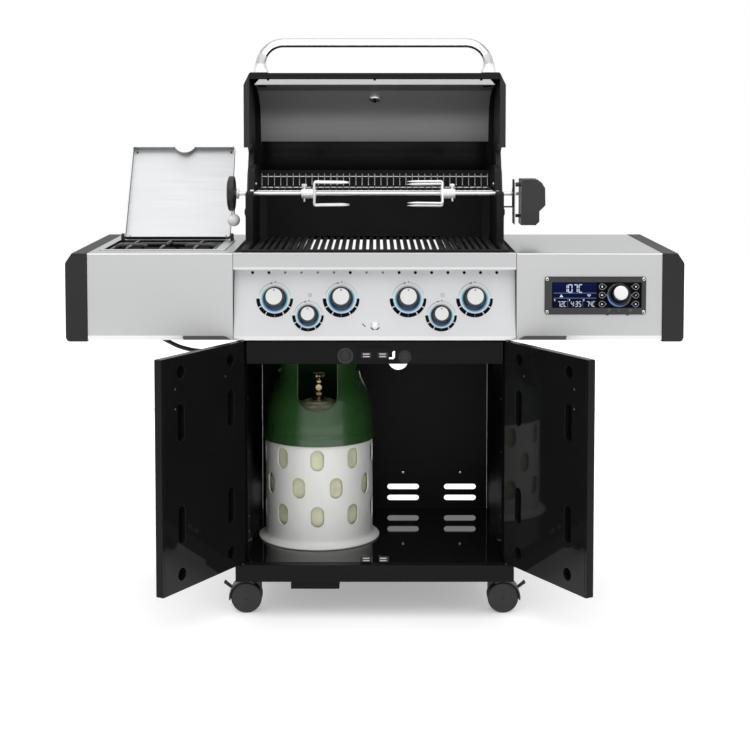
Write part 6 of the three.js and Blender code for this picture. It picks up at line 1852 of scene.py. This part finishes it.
piece("bottle_body", vb, ["vessel"], "bottle", ["bottle_vessel"])

tb = Bag()
tprof = [(146.5, 415), (152.6, 415), (153.5, 416), (153.5, 433), (152.6, 437), (150.4, 440), (149.2, 444), (149, 456), (148.6, 470), (146.6, 490), (143, 510), (137.4, 530), (130, 547), (121, 566),
         (114.6, 580), (112, 594), (111, 612), (112.6, 624), (118, 634), (124.4, 640), (127, 647), (127, 674), (125.6, 680), (122.6, 685), (118, 687.8), (112, 687.6), (107, 686), (104, 682),
         (104, 600), (106, 582), (114, 562), (123, 542), (131, 522), (136, 507), (141, 485), (142, 468), (142, 443), (146.5, 440)]
tb.lathe(tprof, (BX, BY, 0), UPZ, 160, 0)
tb.lathe([(146.5, 440), (146.5, 415)], (BX, BY, 0), UPZ, 160, 0)
front = [(52 * math.cos(math.pi + math.pi * i / 20), 548 + 40 * math.sin(math.pi + math.pi * i / 20)) for i in range(21)]
front += [(52, 634), (50.6, 639), (47, 642.6), (42, 644), (-42, 644), (-47, 642.6), (-50.6, 639), (-52, 634)]
fcut_ = Bag().prism([(BX + a, b) for a, b in front], BY - 170, BY - 20, "xz")
scut = Bag()
for ang in (90, 180, 270):
    q = Bag().prism(round_rect(-46, 46, 596, 641, 12, 5), -170, -60, "xz")
    c, s_ = math.cos(ang * RAD), math.sin(ang * RAD)
    q.v = [(BX + p[0] * c - p[1] * s_, BY + p[0] * s_ + p[1] * c, p[2]) for p in q.v]
    scut.add(q.v, q.f, 0)
piece("bottle_collar", tb, ["green_shell"], "bottle", ["bottle_top"], edge=1.6, segments=3, angle=35, cuts=[fcut_, scut], sharp=35)
# raised rim round the front opening
rm = Bag()
rim_pts = []
for a, b in front:
    # radius of the outer wall at this height
    r_ = 150
    for (r0, z0_), (r1, z1_) in zip(tprof[:22], tprof[1:23]):
        if z0_ <= b <= z1_ and z1_ > z0_:
            r_ = r0 + (r1 - r0) * (b - z0_) / (z1_ - z0_)
            break
    aa = a * 1.03
    rim_pts.append((BX + aa, BY - math.sqrt(max(1, r_ * r_ - aa * aa)) - 0.2, b))
rm.sweep(rim_pts, lambda i, t: [(2.0 * math.cos(j * 36 * RAD), 1.8 * math.sin(j * 36 * RAD)) for j in range(10)], 0, up=(0, -1, 0), closed=True)
piece("bottle_collar_rim", rm, ["green_shell"], "bottle")
vv = Bag()
vo = (BX, BY, 0)
vv.lathe([(0, 514.2), (21, 514.2), (22, 515), (22, 519), (21, 520), (13.6, 520)], vo, UPZ, 40, 0)
vv.lathe([(13.6, 520), (13.6, 521), (12.4, 522), (13, 523), (12.4, 524), (13, 525), (12.4, 526), (13, 527), (12.6, 528)], vo, UPZ, 40, 0)
vv.lathe([(12.6, 528), (13.2, 528.6), (13.2, 535), (12.4, 536), (9.5, 536.6)], vo, UPZ, 6, 0)
vv.lathe([(9.5, 536), (9.5, 545), (10.6, 547), (10.6, 558), (9.5, 560), (9.5, 564)], vo, UPZ, 36, 0)
vv.lathe([(9.5, 563), (10.6, 563.6), (10.6, 567.6), (9.8, 568.6), (0, 569)], vo, UPZ, 6, 0)
vv.lathe([(0, 3), (9, 3), (9, 12), (9.8, 12.6), (9.8, 15), (9, 15.6), (9, 16.6), (9.8, 17.2), (9.8, 19.4), (9, 20), (9, 23), (8.2, 24), (5.5, 24), (5.5, 18), (0, 18)], (BX, BY, 552), (0, -1, 0), 36, 0)
vv.lathe([(0, 4), (6, 4), (6, 15), (7.4, 15.4), (7.4, 19), (0, 19.6)], (BX, BY, 552), (0, 1, 0), 6, 0)
piece("bottle_valve_body", vv, ["brass"], "bottle", ["bottle_valve"], sharp=30)
vw = Bag()
vw.lathe([(0, 569.6), (7, 569.6), (7, 575)], vo, UPZ, 28, 1)
fluted(vw, [(7, 575, 0), (14, 575, 0), (17.6, 576.2, 0.8), (19.8, 578.6, 1.8), (20.5, 582, 2.2), (19.6, 585.6, 1.8), (17, 588, 0.8), (13, 588.8, 0), (6, 588.2, 0), (0, 588.4, 0)],
       Vector((BX, BY, 0)), Vector(UPZ), Vector((1, 0, 0)), 108, 9, 0)
piece("bottle_handwheel", vw, ["brass_dull", "brass"], "bottle_tap", ["bottle_valve_wheel"], sharp=50)

# ------------------------------------------------------------------ gas hose of the side burner
hp = [(-610, 118, 800), (-596, 112, 765), (-568, 103, 722), (-536, 100, 702), (-505, 100, 688), (-462, 100, 679), (-415, 100, 680), (-372, 100, 688), (-339, 100, 692),
      (-316, 97, 697), (-302, 82, 711), (-298, 60, 735), (-297, 44, 765), (-296, 40, 797)]
hs_ = Bag()
pth = spline(hp, 8)
hs_.sweep(pth, lambda i, t: [((5.5 + 0.12 * math.cos(i * 1.1)) * math.cos(j * 22.5 * RAD), (5.5 + 0.12 * math.cos(i * 1.1)) * math.sin(j * 22.5 * RAD)) for j in range(16)], 0)
for p, q in ((pth[0], pth[6]), (pth[-1], pth[-7])):
    d_ = (q - p).normalized()
    hs_.lathe([(0, -2), (5.4, -2), (7.4, -1.2), (7.4, 12), (6.6, 14), (5.6, 15)], p, d_, 24, 1)
    hs_.lathe([(7.4, -1), (8.8, -0.8), (8.8, 5.2), (7.4, 5.6)], p, d_, 6, 1)
piece("hose_run", hs_, ["hose_grey", "brass"], "cart", ["side_burner_hose"])
hv = Bag()
hv.lathe([(0, 0), (13, 0), (14, 1.5), (14, 26), (12, 29), (8, 31), (8, 40), (0, 40)], (-612, 119, 805), (0.05, 0.0, 1), 32, 0)
hv.rod((-612, 119, 826), (-612, 70, 838), 5.2, 0, 18)
piece("side_burner_valve", hv, ["brass_dull"], "cart", sharp=40)

# ------------------------------------------------------------------ grease tray
gt = Bag()
gt.box(-91.5, 91.5, 134, 573, 702, 726, 0)
piece("drip_tray", gt, ["tray_steel"], "tray", ["grease_tray"], edge=1.0, cuts=[Bag().box(-88.5, 88.5, 137, 570, 705, 745)])
gt2 = Bag()
gt2.prism([(573, 702), (590, 702), (590.6, 704), (589, 705.4), (573, 705.2)], -60, 60, "yz", 0)
gt2.prism([(573, 726), (573, 723.4), (575.4, 724), (577, 727), (575, 728)], -91.5, 91.5, "yz", 0)
piece("drip_tray_pull", gt2, ["tray_steel"], "tray", edge=0.6)

# ------------------------------------------------------------------ casters
for fb_, yc in (("front", 62), ("rear", 502)):
    for side, s in DARK.items():
        cx_ = s * 303
        wx = s * 334
        a0, a1 = (62, 188) if s < 0 else (-8, 118)
        nm = "%s_%s" % (fb_, side)
        hd_ = Bag()
        ro = [(wx + 45.6 * math.cos(a * RAD), 40 + 45.6 * math.sin(a * RAD)) for a in range(a0, a1 + 1, 6)]
        ri = [(wx + 41.6 * math.cos(a * RAD), 40 + 41.6 * math.sin(a * RAD)) for a in range(a1, a0 - 1, -6)]
        hd_.prism(ro + ri, yc - 26, yc + 26, "xz", 0)
        piece("caster_hood_%s" % nm, hd_, ["caster_plastic"], "caster_%s" % nm, ["caster_fork_%s" % nm], edge=1.2, segments=3)
        wb = Bag()
        webp = ro + ([(wx - 34, 30), (wx - 20, 16), (wx + 6, 14), (wx + 22, 30), (cx_ + 8.4, 60)] if s < 0 else [(cx_ - 8.4, 60), (wx - 22, 30), (wx - 6, 14), (wx + 20, 16), (wx + 34, 30)])
        wb.prism(webp, yc - 8, yc + 8, "xz", 0)
        wb.box(cx_ - 8, cx_ + 8, yc - 8, yc + 8, 60, 84, 0)
        piece("caster_web_%s" % nm, wb, ["caster_plastic"], "caster_%s" % nm, edge=1.2)
        pl_ = Bag()
        pl_.lathe([(0, 82.5), (12, 82.5), (13, 83.4), (13, 88), (11.4, 89), (11.4, 90.4), (13, 91.4), (13, 92.6), (0, 92.6)], (cx_, yc, 0), UPZ, 36, 0)
        pl_.prism(round_rect(cx_ - 20, cx_ + 20, yc - 20, yc + 20, 4, 4), 92.5, 95.5, "xy", 0)
        pl_.lathe([(0, 3), (3, 3), (3.8, 2), (3.8, 0)], (cx_, yc, 95), UPZ, 6, 0)
        piece("caster_mount_%s" % nm, pl_, ["screw"], "caster_%s" % nm, sharp=35)
        wl = Bag()
        for d0, d1 in ((-8.8, -25), (8.8, 25)):
            k_ = 1 if d1 > d0 else -1
            wl.lathe([(0, d0), (20, d0), (36, d0), (38.6, d0 + k_ * 0.8), (39.6, d0 + k_ * 2.4), (40, d0 + k_ * 4), (40, d1 - k_ * 4), (39.6, d1 - k_ * 2.2), (38.4, d1 - k_ * 0.8)], (wx, yc, 40), (0, 1, 0), 72, 1)
            wl.lathe([(38.4, d1 - k_ * 0.8), (36.4, d1), (34.6, d1), (34.0, d1 - k_ * 0.7), (31, d1 - k_ * 0.9), (14, d1 - k_ * 0.5), (12.6, d1), (4, d1 + k_ * 0.0), (3.4, d1 - k_ * 1.4), (0, d1 - k_ * 1.4)], (wx, yc, 40), (0, 1, 0), 72, 0)
            for j in range(6):
                a = (60 * j + 30) * RAD
                wl.lathe([(0, 0.5), (1.2, 0.4), (1.8, -0.2)], (wx + 22.5 * math.cos(a), yc + d1 - k_ * 0.7, 40 + 22.5 * math.sin(a)), (0, k_, 0), 10, 0)
        wl.lathe([(6, -10), (6, 10)], (wx, yc, 40), (0, 1, 0), 24, 0)
        piece("wheel_disc_%s" % nm, wl, ["caster_face", "tread"], "wheel_%s" % nm, ["caster_wheel_%s" % nm], sharp=50)
        if fb_ == "front":
            R3 = Matrix.Rotation(-s * 38 * RAD, 3, "Y")
            o_ = Vector((wx + s * 39.6, yc, 62))
            bk_ = Bag()
            prof = [(1.2, -2.4), (14, -2.8), (22, -3.4), (24.4, -2.2), (25, 0), (24.4, 2.4), (22, 3.4), (14, 2.2), (1.2, 1.9)]
            vs = []
            for y_ in (-8, 8):
                for u_, w_ in prof:
                    p = R3 @ Vector((s * u_, 0, w_))
                    vs.append(o_ + p + Vector((0, y_, 0)))
            k_ = len(prof)
            bk_.add(vs, [list(range(k_)), list(range(k_, 2 * k_))[::-1]] + [(i, (i + 1) % k_, (i + 1) % k_ + k_, i + k_) for i in range(k_)], 0)
            piece("brake_tab_%s" % side, bk_, ["caster_face"], "brake_%s" % side, ["brake_lever_%s" % side], edge=0.9, segments=3)
